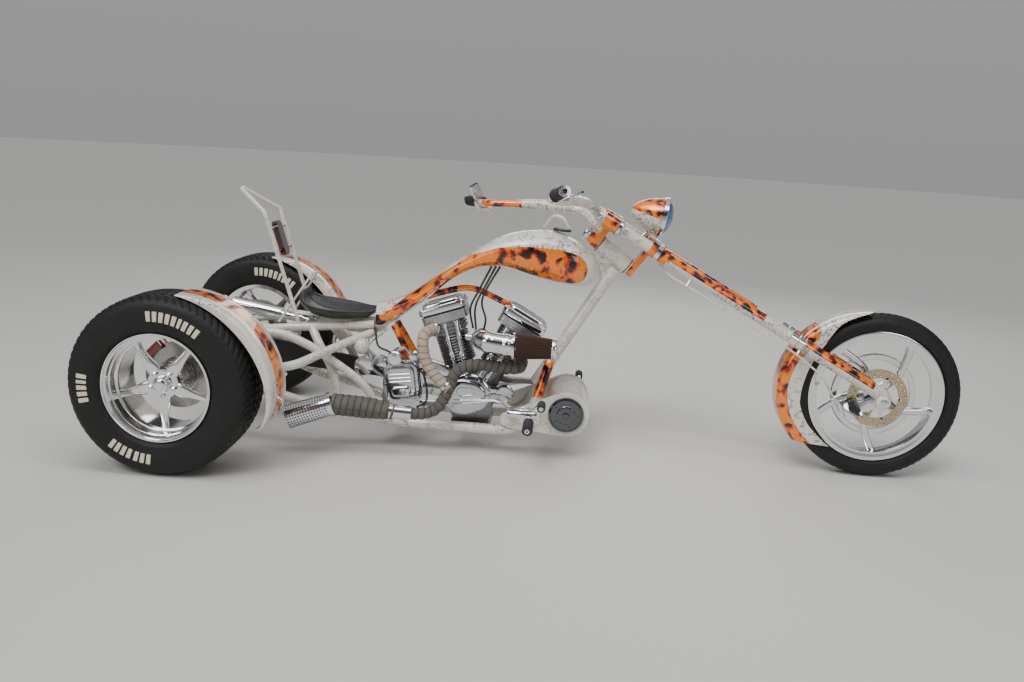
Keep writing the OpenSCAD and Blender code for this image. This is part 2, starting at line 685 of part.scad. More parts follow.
module cylinder_space() {
    translate([0, 0, fin_base - 5]) cylinder(h = head_base - fin_base + 10, r = fin_r + seat_gap);
    translate([0, 0, head_base - 1]) linear_extrude(rocker_base - head_base + 2) round_square(150.6, 150.6, 24);
    rocker_solid(seat_gap);
}
module cam_space() translate(engine_at + [-13, 0, 55])
    upright(-146 - seat_gap, -80) capsule([-18, 0], [22, 6], 88 + seat_gap, 78 + seat_gap);

tip_start = engine_at + [-545, -300, 27];
tip_dir = unit([-175, -22, -62]);
module muffler_tip() color(chrome) along(tip_start + tip_dir * seat_gap, tip_start + tip_dir * (tip_len + seat_gap))
    difference() {
        union() {
            cylinder(h = tip_len, r1 = muffler_r - 1, r2 = muffler_r + 4);
            cylinder(h = 16, r = muffler_r + 2);
        }
        translate([0, 0, 20]) cylinder(h = tip_len, r = tip_bore_r);
    }

module oil_drum() color(cream) {
    translate(drum_at) {
        drum(88, -deck, deck);
        for (s = [-1, 1]) {
            upright_pair(s, deck, deck + 8) capsule([0, 0], [-240, -40], 95, 34);
            color(chrome) drum_between(70, s * (deck + 8), s * (deck + 20));
        }
    }
}

module horn() color(chrome) {
    horn_at = [joint_x - 14, -96, 337];
    translate(horn_at) {
        drum(40, -22, 6);
        drum(28, 5, 20);
    }
    difference() {
        rod(horn_at + [0, -4, 20], horn_at + [14, 52, 124], 6);
        tank_shell();
        top_rail_tube(-1);
        sweep(smooth(sides(stay_path, -1), 30), stay_r + seat_gap);
    }
}

// Forward control: pivot block on the plate, peg, pedal and its cylinder
module forward_control(s, x, y) on_side(s) translate([drum_at[0] + x, y + seat_gap, drum_at[2]]) {
    color(chrome) difference() {
        union() {
            block([-50, 0, -46], [30, 16, 20]);
            rod([-10, 12, -14], [-10, 226, -14], 10);
            rod([0, 24, 8], [38, 60, 60], 9);
            rod([38, 56, 60], [38, 150, 60], 9);
            rod([-96, 30, -4], [20, 30, -4], 17);
            block([-60, 14, -24], [-30, 34, 14]);
        }
        translate([-10, 0, -14]) drum(4, 180, 240);
    }
    color(black) {
        translate([-10, 0, -14]) drum(19, 110, 214);
        translate([38, 0, 60]) drum(15, 84, 144);
    }
}
module right_forward_control() forward_control(-1, -140, deck + 8);
module left_forward_control() forward_control(1, 12, deck + 20);

// ---- Steered parts ----

tree_gap = 1;
tree_t = 26;
top_tree_x = -neck_len / 2 - tree_gap - tree_t;
low_tree_x = neck_len / 2 + tree_gap;
// Height of the fork line above the stem, at a place along the stem
function fork_height(x) = fork_offset / cos(tree_rake) + x * tan(tree_rake);
module tree_plate(x, reach) at_stem() translate([x, 0, 0]) rotate([0, 90, 0]) linear_extrude(tree_t) {
    circle(neck_r - 4);
    translate([-reach * 0.5, 0]) square([reach, 2 * neck_r - 8], center = true);
    translate([-reach, 0]) square([44, 2 * fork_y], center = true);
}
module clamp_sleeve(s, x0, x1) at_fork() translate([x0, s * fork_y, 0]) rotate([0, 90, 0])
    cylinder(h = x1 - x0, r = fork_tube_r + 8);
top_clamp = -fork_len + 22;
low_clamp = -fork_len + 262;
module triple_trees() color(orange) difference() {
    union() {
        tree_plate(top_tree_x, fork_height(top_tree_x + tree_t / 2));
        tree_plate(low_tree_x, fork_height(low_tree_x + tree_t / 2));
        for (s = [-1, 1]) {
            clamp_sleeve(s, top_clamp, top_clamp + 62);
            clamp_sleeve(s, low_clamp - 22, low_clamp + 62);
        }
        at_stem() rotate([0, 90, 0]) {
            translate([0, 0, top_tree_x - 16]) cylinder(h = low_tree_x + tree_t + 16 - top_tree_x, r = stem_r);
            translate([0, 0, top_tree_x - 26]) cylinder(h = 28, r1 = 22, r2 = 30);
        }
    }
    for (s = [-1, 1]) at_fork() translate([-fork_len - 50, s * fork_y, 0]) rotate([0, 90, 0])
        cylinder(h = 700, r = fork_tube_r + seat_gap);
}

// Profile of one leg, as distance down the fork and radius
function leg_profile() = [[-fork_len, 0], [-fork_len, fork_tube_r], [-400, fork_tube_r],
    [-398, fork_lower_r], [-260, fork_lower_r], [-258, fork_lower_r - 2], [-4, fork_lower_r - 2],
    [14, fork_lower_r - 6], [26, fork_lower_r - 16], [30, 0]];
module fork_leg(s) color(cream) difference() {
    union() {
        at_fork() translate([0, s * fork_y, 0]) rotate([0, 90, 0])
            rotate_extrude() polygon([for (p = leg_profile()) [p[1], p[0]]]);
        translate(front_axle_at)
            drum_between(27, s * (leg_seat - 2), s * (fork_y + fork_lower_r + 2));
        // Clips that hold the brake hose
        if (s < 0) for (x = hose_clips) rod(fork_point([x, -fork_y, 0]), fork_point([x, -fork_y - 20, -52]), 7);
    }
    translate(front_axle_at) drum(front_axle_r + run_gap, -300, 300);
    if (s < 0) hose(4 + seat_gap);
}
module right_fork_leg() fork_leg(-1);
module left_fork_leg() fork_leg(1);

// The bars are turned about a line that leans back with the stem's top nut
bar_at = stem_point([-150, 0, 30]);
bar_axis = [-sin(15), 0, cos(15)];
module turned() translate(bar_at) rotate(a = bar_turn, v = bar_axis) children();
function spin(v) = v * cos(bar_turn) + cross(bar_axis, v) * sin(bar_turn)
    + bar_axis * (bar_axis * v) * (1 - cos(bar_turn));
grip_from = [-345, 372, 92];
grip_dir = unit([-22, 130, 12]);
grip_to = grip_from + grip_len * grip_dir;
bar_feet = [[top_tree_x, -52, 66], [top_tree_x, 52, 42]];
function bar_path(s) = concat([stem_point(bar_feet[s > 0 ? 1 : 0])],
    [for (p = [[-12, 56, 72], [-130, 190, 90], grip_from - 56 * grip_dir, grip_from]) bar_at + spin(side(p, s))]);
module handlebar() color(cream) difference() {
    for (s = [-1, 1]) sweep(smooth(bar_path(s), 30), bar_r, 16);
    tree_plate(top_tree_x, fork_height(top_tree_x));
    for (s = [-1, 1]) clamp_sleeve(s, top_clamp - 2, top_clamp + 62);
    at_stem() rotate([0, 90, 0]) translate([0, 0, top_tree_x - 27]) cylinder(h = 40, r = 31);
}

module grip_place(s) {
    a = bar_at + spin(side(grip_from, s));
    b = bar_at + spin(side(grip_to, s));
    along(a + unit(b - a) * seat_gap, b) children();
}
module grip(s) grip_place(s) {
    color(black) difference() {
        union() {
            cylinder(h = grip_len, r = grip_r);
            cylinder(h = 26, r = grip_r + 6);
        }
        translate([0, 0, grip_len - 42]) cylinder(h = 50, r = bar_end_r);
    }
}
module right_grip() color(chrome) {
    grip(-1);
    grip_place(-1) {
        rotate([0, 0, 90]) translate([grip_r + 4, -14, 0]) cube([26, 28, 24]);
        rotate([0, 0, 90]) sweep([[grip_r + 22, 0, 12], [grip_r + 48, 0, 40], [grip_r + 44, 0, 130]], 5, 8);
    }
}
module left_grip() color(chrome) {
    grip(1);
    grip_place(1) {
        rotate([0, 0, -60]) translate([grip_r + 4, -14, 0]) cube([26, 28, 24]);
        rotate([0, 0, -60]) sweep([[grip_r + 22, 0, 12], [grip_r + 48, 0, 40], [grip_r + 44, 0, 130]], 5, 8);
        rotate([0, 0, 150]) translate([grip_r + 4, -20, 2]) cube([60, 40, 20]);
    }
}

lamp_slope = 10;
lens_at = stem_point([52, 0, 245]);
// Outline of the bowl behind the lens, as radius and distance along its axis
bowl = [[0, -130], [14, -128], [34, -114], [54, -86], [68, -52], [76, -18], [80, -8]];
module headlight() {
    color(orange) translate(lens_at) rotate([0, 90 + lamp_slope, 0])
        rotate_extrude() polygon(concat(bowl, [[84, 6], [80, 24], [52, 38], [0, 44]]));
    color(chrome) difference() {
        union() {
            rod(stem_point([40, 0, fork_height(40)]), lens_at + [-30, 0, -50], 13);
            at_stem() translate([40, 0, fork_height(40)]) drum(12, -fork_y, fork_y);
        }
        translate(lens_at) rotate([0, 90 + lamp_slope, 0]) rotate_extrude() polygon(concat(bowl, [[0, -8]]));
        for (s = [-1, 1]) at_fork() translate([-fork_len, s * fork_y, 0]) rotate([0, 90, 0])
            cylinder(h = 700, r = fork_tube_r + seat_gap);
    }
}

module front_caliper() color(alloy) difference() {
    union() {
        translate(front_axle_at) rotate([0, -25, 0]) block([-150, -90, -36], [-84, -34, 36]);
        translate(front_axle_at) upright(-90, -leg_seat - 2) capsule([-24, -16], [-100, -46], 24, 24);
    }
    translate(front_axle_at) drum(front_disc_r + 6, -disc_y - 6, -disc_y + 12);
    translate(front_axle_at) drum(27 + seat_gap, -200, 0);
    at_fork() translate([-300, -fork_y, 0]) rotate([0, 90, 0]) cylinder(h = 400, r = fork_lower_r + seat_gap);
}

module front_axle() color(chrome) translate(front_axle_at) {
    drum(front_axle_r, -fork_y - fork_lower_r - 18, fork_y + fork_lower_r + 18);
    for (s = [-1, 1]) {
        drum_between(17, s * ((s < 0 ? disc_y : hub_half) + seat_gap), s * (leg_seat - 2 - seat_gap));
        drum_between(19, s * (fork_y + fork_lower_r + 2 + seat_gap), s * (fork_y + fork_lower_r + 16));
    }
}

hose_path = [[-1090, -62, -30], [-1030, -100, -54], [-860, -118, -48], [-520, -120, -44],
    [-404, -122, -44], [-260, -124, -66], [-170, -104, -116], [-112, -84, -132]];
hose_clips = [-940, -404];
module hose(r) sweep(smooth([for (p = hose_path) fork_point(p)], 24, 3), r, 8);
module brake_hose() color(cream) difference() {
    hose(4);
    tree_plate(low_tree_x, fork_height(low_tree_x + tree_t / 2));
    clamp_sleeve(-1, low_clamp - 22, low_clamp + 62);
    translate(front_axle_at) rotate([0, -25, 0]) block([-150, -90, -36], [-84, -34, 36]);
}

// ---- Front wheel ----

hub_half = 48;
// Outer face of the front disc, on the right side
disc_y = 58;
front_bead_r = front_rim_d / 2 - 12;
front_rim_half = front_tyre_w / 2 - 16;
module front_tyre() color(black) translate(front_axle_at)
    tyre(front_bead_r, front_rim_half - 8, front_rim_d / 2, front_tyre_w / 2, front_r, 0.85);
module front_rim() color(chrome) translate(front_axle_at) difference() {
    union() {
        rim_barrel(front_rim_d / 2, front_bead_r, front_rim_half, 24);
        drum(44, -hub_half, hub_half);
        for (i = [0 : 4]) rotate([0, i * 72 + 20, 0]) upright(-13, 13)
            polygon([[30, -26], [110, -34], [170, -22], [front_bead_r - 20, 16], [front_bead_r - 20, 52],
                [150, 14], [90, 2], [30, 22]]);
        difference() {
            drum(176, 2, 16);
            drum(150, 0, 20);
        }
        // Brake disc on its carrier
        difference() {
            drum(front_disc_r, -disc_y, -disc_y + 6);
            drum(front_disc_r - 38, -disc_y - 10, -disc_y + 20);
        }
        for (i = [0 : 4]) rotate([0, i * 72, 0]) upright(-disc_y + 1, -disc_y + 5)
            translate([66, 0]) square([60, 18], center = true);
        drum(52, -disc_y + 0.5, -hub_half + 8);
    }
    drum(front_axle_r + run_gap, -100, 100);
}

neck_and_downtube();
right_lower_rail();
left_lower_rail();
top_rails();
right_rear_stays();
left_rear_stays();
cradle_plates();
rear_axle();
rear_calipers();
right_rear_fender();
left_rear_fender();
fuel_tank();
seat();
sissy_bar();
tail_lamp();
rear_shock();
crankcase();
rear_cylinder();
front_cylinder();
rear_rocker_box();
front_rocker_box();
cam_cover();
transmission();
primary_case();
final_drive();
air_intake();
rear_exhaust();
front_exhaust();
muffler_tip();
oil_drum();
horn();
right_forward_control();
left_forward_control();
triple_trees();
right_fork_leg();
left_fork_leg();
handlebar();
right_grip();
left_grip();
headlight();
front_fender();
front_caliper();
front_axle();
brake_hose();
front_tyre();
front_rim();
right_rear_tyre();
right_rear_rim();
left_rear_tyre();
left_rear_rim();
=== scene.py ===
import math
import bpy
import numpy as np
from mathutils import Matrix


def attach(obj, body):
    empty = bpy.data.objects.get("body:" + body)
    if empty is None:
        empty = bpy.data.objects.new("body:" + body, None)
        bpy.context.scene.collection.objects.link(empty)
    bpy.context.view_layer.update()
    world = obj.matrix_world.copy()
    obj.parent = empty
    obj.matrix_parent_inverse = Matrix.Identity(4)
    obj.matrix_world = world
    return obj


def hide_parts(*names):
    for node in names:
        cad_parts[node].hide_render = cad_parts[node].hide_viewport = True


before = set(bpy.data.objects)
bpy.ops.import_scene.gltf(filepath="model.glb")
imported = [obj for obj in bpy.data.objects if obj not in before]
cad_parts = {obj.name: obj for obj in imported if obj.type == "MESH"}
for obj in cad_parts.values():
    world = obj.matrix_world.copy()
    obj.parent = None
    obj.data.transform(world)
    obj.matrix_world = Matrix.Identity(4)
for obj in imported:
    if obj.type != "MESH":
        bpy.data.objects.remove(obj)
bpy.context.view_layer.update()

# The studio: a round sheet of pale matt board, four soft area lights, a broad weak sun, and a surround
# with a dark band that gives the bright metal something to reflect.
def put(tree, kind, *feeds, **settings):
    """A shader node; each feed is (input, number or socket)."""
    made = tree.nodes.new("ShaderNode" + kind)
    for key, value in settings.items():
        setattr(made, key, value)
    for place, value in feeds:
        if isinstance(value, bpy.types.NodeSocket):
            tree.links.new(value, made.inputs[place])
        else:
            made.inputs[place].default_value = value
    return made


def noise(tree, place, scale, detail, **more):
    """The grey value of a noise texture."""
    made = put(tree, "TexNoise", ("Vector", place), ("Scale", scale), ("Detail", detail), *more.items())
    return made.outputs["Fac"]


def maths(tree, operation, *values):
    """The result of one sum on numbers or sockets."""
    return put(tree, "Math", *enumerate(values), operation=operation).outputs[0]


def between(tree, value, low=0.0, high=1.0, to_low=0.0, to_high=1.0):
    """A value stretched from the range low to high on to another range, and held there."""
    return put(tree, "MapRange", ("Value", value), ("From Min", low), ("From Max", high), ("To Min", to_low),
        ("To Max", to_high)).outputs[0]


def blend(tree, factor, first, second):
    """A mix of two colours."""
    return put(tree, "Mix", ("Factor", factor), (6, first), (7, second), data_type="RGBA").outputs[2]


def coating(name, **values):
    """A material with one Principled shader, its plain numbers set on the sockets."""
    made = bpy.data.materials.new(name)
    made.use_nodes = True
    shader = made.node_tree.nodes["Principled BSDF"]
    for key, value in values.items():
        shader.inputs[key.replace("_", " ")].default_value = value
    return made, made.node_tree, shader


def effect(name, inputs, outputs):
    """An empty node group with named float or vector inputs and outputs."""
    group = bpy.data.node_groups.new(name, "ShaderNodeTree")
    for label, kind, value in inputs:
        made = group.interface.new_socket(name=label, in_out="INPUT", socket_type="NodeSocket" + kind)
        if value is not None:
            made.default_value = value
    for label, kind in outputs:
        group.interface.new_socket(name=label, in_out="OUTPUT", socket_type="NodeSocket" + kind)
    return group, group.nodes.new("NodeGroupInput"), group.nodes.new("NodeGroupOutput")


def placed(name, data):
    """An object in the scene's own collection."""
    made = bpy.data.objects.new(name, data)
    bpy.context.scene.collection.objects.link(made)
    return made


def handling_marks():
    """Roughness of a wiped surface: base plus spread times a two-scale noise."""
    group, given, out = effect("handling_marks",
        [("Vector", "Vector", None), ("Base", "Float", 0.2), ("Spread", "Float", 0.1)],
        [("Roughness", "Float")])
    broad = noise(group, given.outputs["Vector"], 7.0, 5.0)
    fine = noise(group, given.outputs["Vector"], 90.0, 3.0)
    both = maths(group, "MULTIPLY", broad, fine)
    grown = maths(group, "MULTIPLY_ADD", both, given.outputs["Spread"], given.outputs["Base"])
    group.links.new(grown, out.inputs["Roughness"])
    return group


marks = handling_marks()


def marked(tree, shader, base, spread):
    """Feeds the shader's roughness from the handling marks and returns the coordinates."""
    place = put(tree, "TexCoord").outputs["Object"]
    worn = put(tree, "Group", ("Vector", place), ("Base", base), ("Spread", spread), node_tree=marks)
    tree.links.new(worn.outputs["Roughness"], shader.inputs["Roughness"])
    return place


def coloured(tree, shader, color):
    """Feeds the shader's base colour."""
    tree.links.new(color, shader.inputs["Base Color"])


def bumped(tree, shader, height, distance):
    """Feeds the shader's normal from a bump of that height in metres."""
    made = put(tree, "Bump", ("Height", height), ("Distance", distance))
    tree.links.new(made.outputs["Normal"], shader.inputs["Normal"])


board, tree, shader = coating("floor_board", Base_Color=(0.66, 0.65, 0.63, 1))
marked(tree, shader, 0.6, 0.3)
floor_reach, corners = 40, 64
turn = np.linspace(0, 2 * np.pi, corners, endpoint=False)
rim = np.c_[floor_reach * np.cos(turn), floor_reach * np.sin(turn), 0 * turn]
sheet = bpy.data.meshes.new("floor")
sheet.from_pydata(rim.tolist(), [], [list(range(corners))])
sheet.materials.append(board)
floor = placed("floor", sheet)

camera = placed("camera", bpy.data.cameras.new("camera"))
bpy.context.scene.camera = camera
camera.data.sensor_width = 36
camera.data.lens = 32.45
camera.data.clip_end = 200
camera_yaw, camera_pitch, camera_roll = np.radians([3.21, 12.59, 3.51])
camera_level = np.array([math.cos(camera_yaw), math.sin(camera_yaw), 0])
camera_back = np.array([camera_level[1] * math.cos(camera_pitch), -camera_level[0] * math.cos(camera_pitch),
    math.sin(camera_pitch)])
camera_right = (camera_level * math.cos(camera_roll)
    + np.cross(camera_back, camera_level) * math.sin(camera_roll))
camera_up = np.cross(camera_back, camera_right)
aim = Matrix((camera_right, camera_up, camera_back)).transposed().to_4x4()
aim.translation = (0.0735, -3.860, 1.330)
camera.matrix_world = aim

lit_point = np.array([0, 0, 0.4])
for name, place, size, power in (
    ("over", (-0.2, -1.3, 3.6), (4.6, 1.2), 70), ("front_left", (-3.6, -4.6, 2.2), (2.2, 1.8), 42),
    ("front_right", (3.6, -4.4, 2.4), (1.6, 2.2), 34), ("behind", (0.5, 4.0, 2.8), (4.5, 1.4), 60)):
    lamp = bpy.data.lights.new(name, "AREA")
    lamp.shape, lamp.size, lamp.size_y, lamp.energy = "RECTANGLE", size[0], size[1], power
    light = placed(name, lamp)
    heading = lit_point - np.array(place)
    back = -heading / np.linalg.norm(heading)
    right = np.cross([0, 0, 1], back)
    right /= np.linalg.norm(right)
    stand = Matrix((right.tolist(), np.cross(back, right).tolist(), back.tolist())).transposed().to_4x4()
    stand.translation = place
    light.matrix_world = stand
sun = placed("soft_sun", bpy.data.lights.new("soft_sun", "SUN"))
sun.data.energy, sun.data.angle = 1.15, math.radians(22)
sun.matrix_world = Matrix.Rotation(math.radians(38), 4, "X") @ Matrix.Rotation(math.radians(-16), 4, "Y")
surround = bpy.data.worlds.new("surround")
surround.use_nodes = True
sky = surround.node_tree
height = put(sky, "SeparateXYZ", ("Vector", put(sky, "TexCoord").outputs["Generated"]))
shade = between(sky, height.outputs["Z"], -1.0)
walls = put(sky, "ValToRGB", ("Fac", shade))
underfoot, overhead = walls.color_ramp.elements
underfoot.color, overhead.color = (0.3, 0.3, 0.3, 1), (1.0, 1.0, 1.0, 1)
for position, grey in ((0.495, 0.52), (0.57, 0.56), (0.63, 0.10), (0.76, 0.07), (0.86, 0.7)):
    walls.color_ramp.elements.new(position).color = (grey, grey, grey * 1.03, 1)
sky.links.new(walls.outputs["Color"], sky.nodes["Background"].inputs["Color"])
sky.nodes["Background"].inputs["Strength"].default_value = 0.62
bpy.context.scene.world = surround

# The paint: cream with grey ink veins, and candy orange panels where the stripe attribute is above
# one half, with a dark line round them. Both lie under a deep clear coat.
def ink_veins():
    """Veins where a warped noise crosses one half, kept to patches where a coarser noise is high."""
    group, given, out = effect("ink_veins",
        [("Vector", "Vector", None), ("Amount", "Float", 1.0)], [("Mask", "Float")])
    warp = noise(group, given.outputs["Vector"], 13.0, 7.0, Roughness=0.62, Distortion=1.6)
    away = maths(group, "SUBTRACT", warp, 0.5)
    near = maths(group, "ABSOLUTE", away)
    line = between(group, near, high=0.034, to_low=1.0, to_high=0.0)
    field = noise(group, given.outputs["Vector"], 5.5, 3.0)
    patch = between(group, field, 0.40, 0.56)
    both = maths(group, "MULTIPLY", line, patch)
    much = maths(group, "MULTIPLY", both, given.outputs["Amount"])
    group.links.new(much, out.inputs["Mask"])
    return group


def candy_clouds():
    """Amber to dark red by cells warped with noise, as a colour."""
    group, given, out = effect("candy_clouds", [("Vector", "Vector", None)], [("Color", "Color")])
    place = given.outputs["Vector"]
    warp = put(group, "TexNoise", ("Vector", place), ("Scale", 17.0), ("Detail", 4.0), ("Distortion", 0.8))
    scaled = put(group, "VectorMath", (0, warp.outputs["Color"]), ("Scale", 0.06), operation="SCALE")
    shift = put(group, "VectorMath", (0, place), (1, scaled.outputs[0]), operation="ADD")
    cells = put(group, "TexVoronoi", ("Vector", shift.outputs[0]), ("Scale", 27.0), feature="SMOOTH_F1")
    cloud = maths(group, "ADD", cells.outputs["Distance"], warp.outputs["Fac"])
    ramp = put(group, "ValToRGB", ("Fac", cloud))
    stops = ramp.color_ramp.elements
    stops[0].position, stops[0].color = 0.70, (0.010, 0.0015, 0.001, 1)
    stops[1].position, stops[1].color = 1.0, (0.98, 0.25, 0.003, 1)
    for position, red, green in ((0.79, 0.11, 0.006), (0.86, 0.50, 0.040), (0.93, 0.86, 0.12)):
        stops.new(position).color = (red, green, 0.001, 1)
    group.links.new(ramp.outputs["Color"], out.inputs["Color"])
    return group


veins, clouds = ink_veins(), candy_clouds()


def show_paint(name, ink, dark=(0.16, 0.15, 0.14, 1)):
    """Cream, ink and candy panels, chosen by the stripe attribute."""
    made, tree, shader = coating(name, Coat_Weight=1.0, Coat_Roughness=0.03, IOR=1.5)
    place = marked(tree, shader, 0.24, 0.12)
    inked = put(tree, "Group", ("Vector", place), ("Amount", ink), node_tree=veins)
    cream = blend(tree, inked.outputs["Mask"], (0.74, 0.70, 0.62, 1), dark)
    candy = put(tree, "Group", ("Vector", place), node_tree=clouds)
    stripe = put(tree, "Attribute", attribute_name="stripe")
    panel = between(tree, stripe.outputs["Fac"], 0.49, 0.51)
    inner = between(tree, stripe.outputs["Fac"], 0.46, 0.47)
    rim = maths(tree, "SUBTRACT", inner, panel)
    two = blend(tree, panel, cream, candy.outputs["Color"])
    lined = blend(tree, rim, two, (0.05, 0.02, 0.012, 1))
    coloured(tree, shader, lined)
    flake = maths(tree, "MULTIPLY", panel, 0.25)
    tree.links.new(flake, shader.inputs["Metallic"])
    bumped(tree, shader, noise(tree, place, 420.0, 1.0), 0.00005)
    return made


cream_paint = show_paint("cream_paint", 0.55)
body_paint = show_paint("body_paint", 1.0, (0.05, 0.048, 0.045, 1))


def candy_paint():
    """Candy all over, for pieces that are one colour."""
    made, tree, shader = coating("candy_paint", Coat_Weight=1.0, Coat_Roughness=0.03, Metallic=0.25)
    place = marked(tree, shader, 0.24, 0.12)
    candy = put(tree, "Group", ("Vector", place), node_tree=clouds)
    coloured(tree, shader, candy.outputs["Color"])
    return made


orange_paint = candy_paint()


def metal(name, tint, base, spread, grain=None, soot=0.0):
    """Bright metal; grain is (scale, depth in metres) of its skin, and soot its share of grime."""
    made, tree, shader = coating(name, Metallic=1.0, Base_Color=(*tint, 1))
    place = marked(tree, shader, base, spread)
    if soot:
        grime = noise(tree, place, 11.0, 8.0, Roughness=0.7)
        mask = between(tree, grime, 0.5, 0.8, to_high=soot)
        dull = blend(tree, mask, (*tint, 1), (0.06, 0.055, 0.05, 1))
        coloured(tree, shader, dull)
    if grain:
        bumped(tree, shader, noise(tree, place, grain[0], 4.0), grain[1])
    return made


chrome = metal("chrome", (0.80, 0.81, 0.83), 0.035, 0.10, soot=0.25)
polished = metal("polished_aluminium", (0.82, 0.82, 0.82), 0.07, 0.18, (60.0, 0.0001), 0.1)
cast = metal("cast_aluminium", (0.50, 0.50, 0.50), 0.3, 0.25, (240.0, 0.0004), 0.5)
brass = metal("bronzed_disc", (0.55, 0.45, 0.30), 0.2, 0.2, (160.0, 0.0001), 0.3)


def dull_skin(name, tint, pale, base, spread, scale, depth, coat=0.0):
    """A non-metal: two tints blotched by noise, and a bump of that scale and depth."""
    made, tree, shader = coating(name, Coat_Weight=coat)
    place = marked(tree, shader, base, spread)
    blotch = noise(tree, place, 14.0, 8.0, Roughness=0.65)
    both = blend(tree, blotch, (*tint, 1), (*pale, 1))
    coloured(tree, shader, both)
    bumped(tree, shader, noise(tree, place, scale, 3.0), depth)
    return made


black_paint = dull_skin("black_paint", (0.012, 0.012, 0.013), (0.03, 0.03, 0.03), 0.28, 0.2, 300.0, 0.0002)
black_rubber = dull_skin("black_rubber", (0.012, 0.012, 0.012), (0.03, 0.03, 0.03), 0.5, 0.3, 500.0, 0.0005)
red_paint = dull_skin("red_paint", (0.45, 0.01, 0.008), (0.3, 0.008, 0.006), 0.25, 0.2, 300.0, 0.0001, 1.0)
lamp_red = dull_skin("lamp_red", (0.06, 0.004, 0.004), (0.02, 0.002, 0.002), 0.1, 0.15, 90.0, 0.0004, 1.0)
paper = dull_skin("filter_pleats", (0.10, 0.045, 0.03), (0.045, 0.022, 0.018), 0.6, 0.3, 500.0, 0.0006)


def dress(names, finish, bevel=0.0):
    """CAD nodes that stay: welded, their edges rounded or split above an angle, and with one finish."""
    sharp = math.radians(32)
    for each in names:
        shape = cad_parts[each]
        shape.data.materials.clear()
        shape.data.materials.append(finish)
        shape.data.polygons.foreach_set("use_smooth", [True] * len(shape.data.polygons))
        shape.modifiers.new("weld", "WELD").merge_threshold = 0.00002
        if bevel:
            round_off = shape.modifiers.new("round_off", "BEVEL")
            round_off.width, round_off.segments, round_off.limit_method = bevel * 0.001, 2, "ANGLE"
            round_off.angle_limit = sharp
        shape.modifiers.new("split", "EDGE_SPLIT").split_angle = sharp


# The frame: bent steel tube, welded, painted cream. The two lower rails run from the downtube round
# the engine back to the axle, with their cradle stretch in candy; the stays and top rails meet it.
sides = (("right", -1), ("left", 1))
wheelbase, front_r, rear_r, track, rear_w = 2800, 350, 343, 1150, 255
reach, drop, offset = 1136, 515, 87
rear_x = (rear_r - front_r - wheelbase) / 2
front_x = rear_x + wheelbase
neck = np.array([front_x - reach, 0, front_r + drop], float)
engine = np.array([neck[0] - 560, 0, 190.0])
gearbox = engine + [-295, 0, 85]
joint_x = engine[0] - 445
stay_y = track / 2 - rear_w / 2 - 32


def unit(v):
    """A vector's direction."""
    return np.array(v, float) / np.linalg.norm(v)


def bent(points, bend, steps=10):
    """A polyline whose corners are quadratic curves, a(1-t)^2 + 2pt(1-t) + bt^2, begun `bend` before each."""
    p = np.array(points, float)
    back, on = p[:-2] - p[1:-1], p[2:] - p[1:-1]
    lb, lo = np.linalg.norm(back, axis=1), np.linalg.norm(on, axis=1)
    reach = np.minimum(bend, 0.49 * np.minimum(lb, lo))
    a, b = p[1:-1] + back * (reach / lb)[:, None], p[1:-1] + on * (reach / lo)[:, None]
    t = np.linspace(0, 1, steps)[:, None, None]
    arcs = a * (1 - t) ** 2 + p[1:-1] * 2 * t * (1 - t) + b * t ** 2
    return np.vstack([p[:1], arcs.transpose(1, 0, 2).reshape(-1, 3), p[-1:]])


def even(path, step):
    """The same line with points about `step` apart, by its length along."""
    gap = np.linalg.norm(np.diff(path, axis=0), axis=1)
    at = np.r_[0, np.cumsum(gap)]
    want = np.linspace(0, at[-1], max(2, int(at[-1] / step) + 1))
    return np.stack([np.interp(want, at, path[:, k]) for k in range(3)], axis=1), want


def flow(points, count):
    """A Catmull-Rom curve through the points, or through rows of any width."""
    p = np.array(points, float)
    q = np.vstack([2 * p[0] - p[1], p, 2 * p[-1] - p[-2]])
    u = np.linspace(0, len(p) - 1 - 1e-9, count)
    i = u.astype(int)
    t = (u - i)[:, None]
    a, b, c, d = q[i], q[i + 1], q[i + 2], q[i + 3]
    return 0.5 * (2 * b + (c - a) * t + (2 * a - 5 * b + 4 * c - d) * t ** 2
        + (3 * b - a - 3 * c + d) * t ** 3)


def across(path):
    """Two unit directions square to the path at each point, from the axis that it runs least along."""
    along = np.gradient(path, axis=0)
    along /= np.linalg.norm(along, axis=1)[:, None]
    picks = np.array([[1, 0, 0], [0, 1, 0], [0, 0, 1], [0.7, 0.7, 0.14], [-0.7, 0.7, 0.14],
        [0.14, 0.7, -0.7]], float)
    pick = picks[np.argmin(np.abs(along @ picks.T).max(0))]
    beside = np.cross(pick, along)
    beside /= np.linalg.norm(beside, axis=1)[:, None]
    return beside, np.cross(along, beside)


def weave_faces(m, n, close_m=False):
    """Quads of an m by n grid closed along n, and either closed along m or given a polygon at each end."""
    i = np.arange(m if close_m else m - 1)[:, None]
    j = np.arange(n)[None, :]
    a, b = i * n + j, ((i + 1) % m) * n + j
    c, d = ((i + 1) % m) * n + (j + 1) % n, i * n + (j + 1) % n
    faces = np.stack([a, b, c, d], axis=-1).reshape(-1, 4).tolist()
    if not close_m:
        faces += [list(range(n))[::-1], list(range((m - 1) * n, m * n))]
    return faces


def outward(points, faces):
    """The same faces, turned round if the volume, the sum of p0.(p1 x p2) / 6, comes out negative."""
    flat = np.array([[f[0], f[k], f[k + 1]] for f in faces for k in range(1, len(f) - 1)])
    corner = points - points.mean(0)
    volume = np.einsum("ij,ij->i", corner[flat[:, 0]], np.cross(corner[flat[:, 1]], corner[flat[:, 2]])).sum()
    return [f[::-1] for f in faces] if volume < 0 else faces


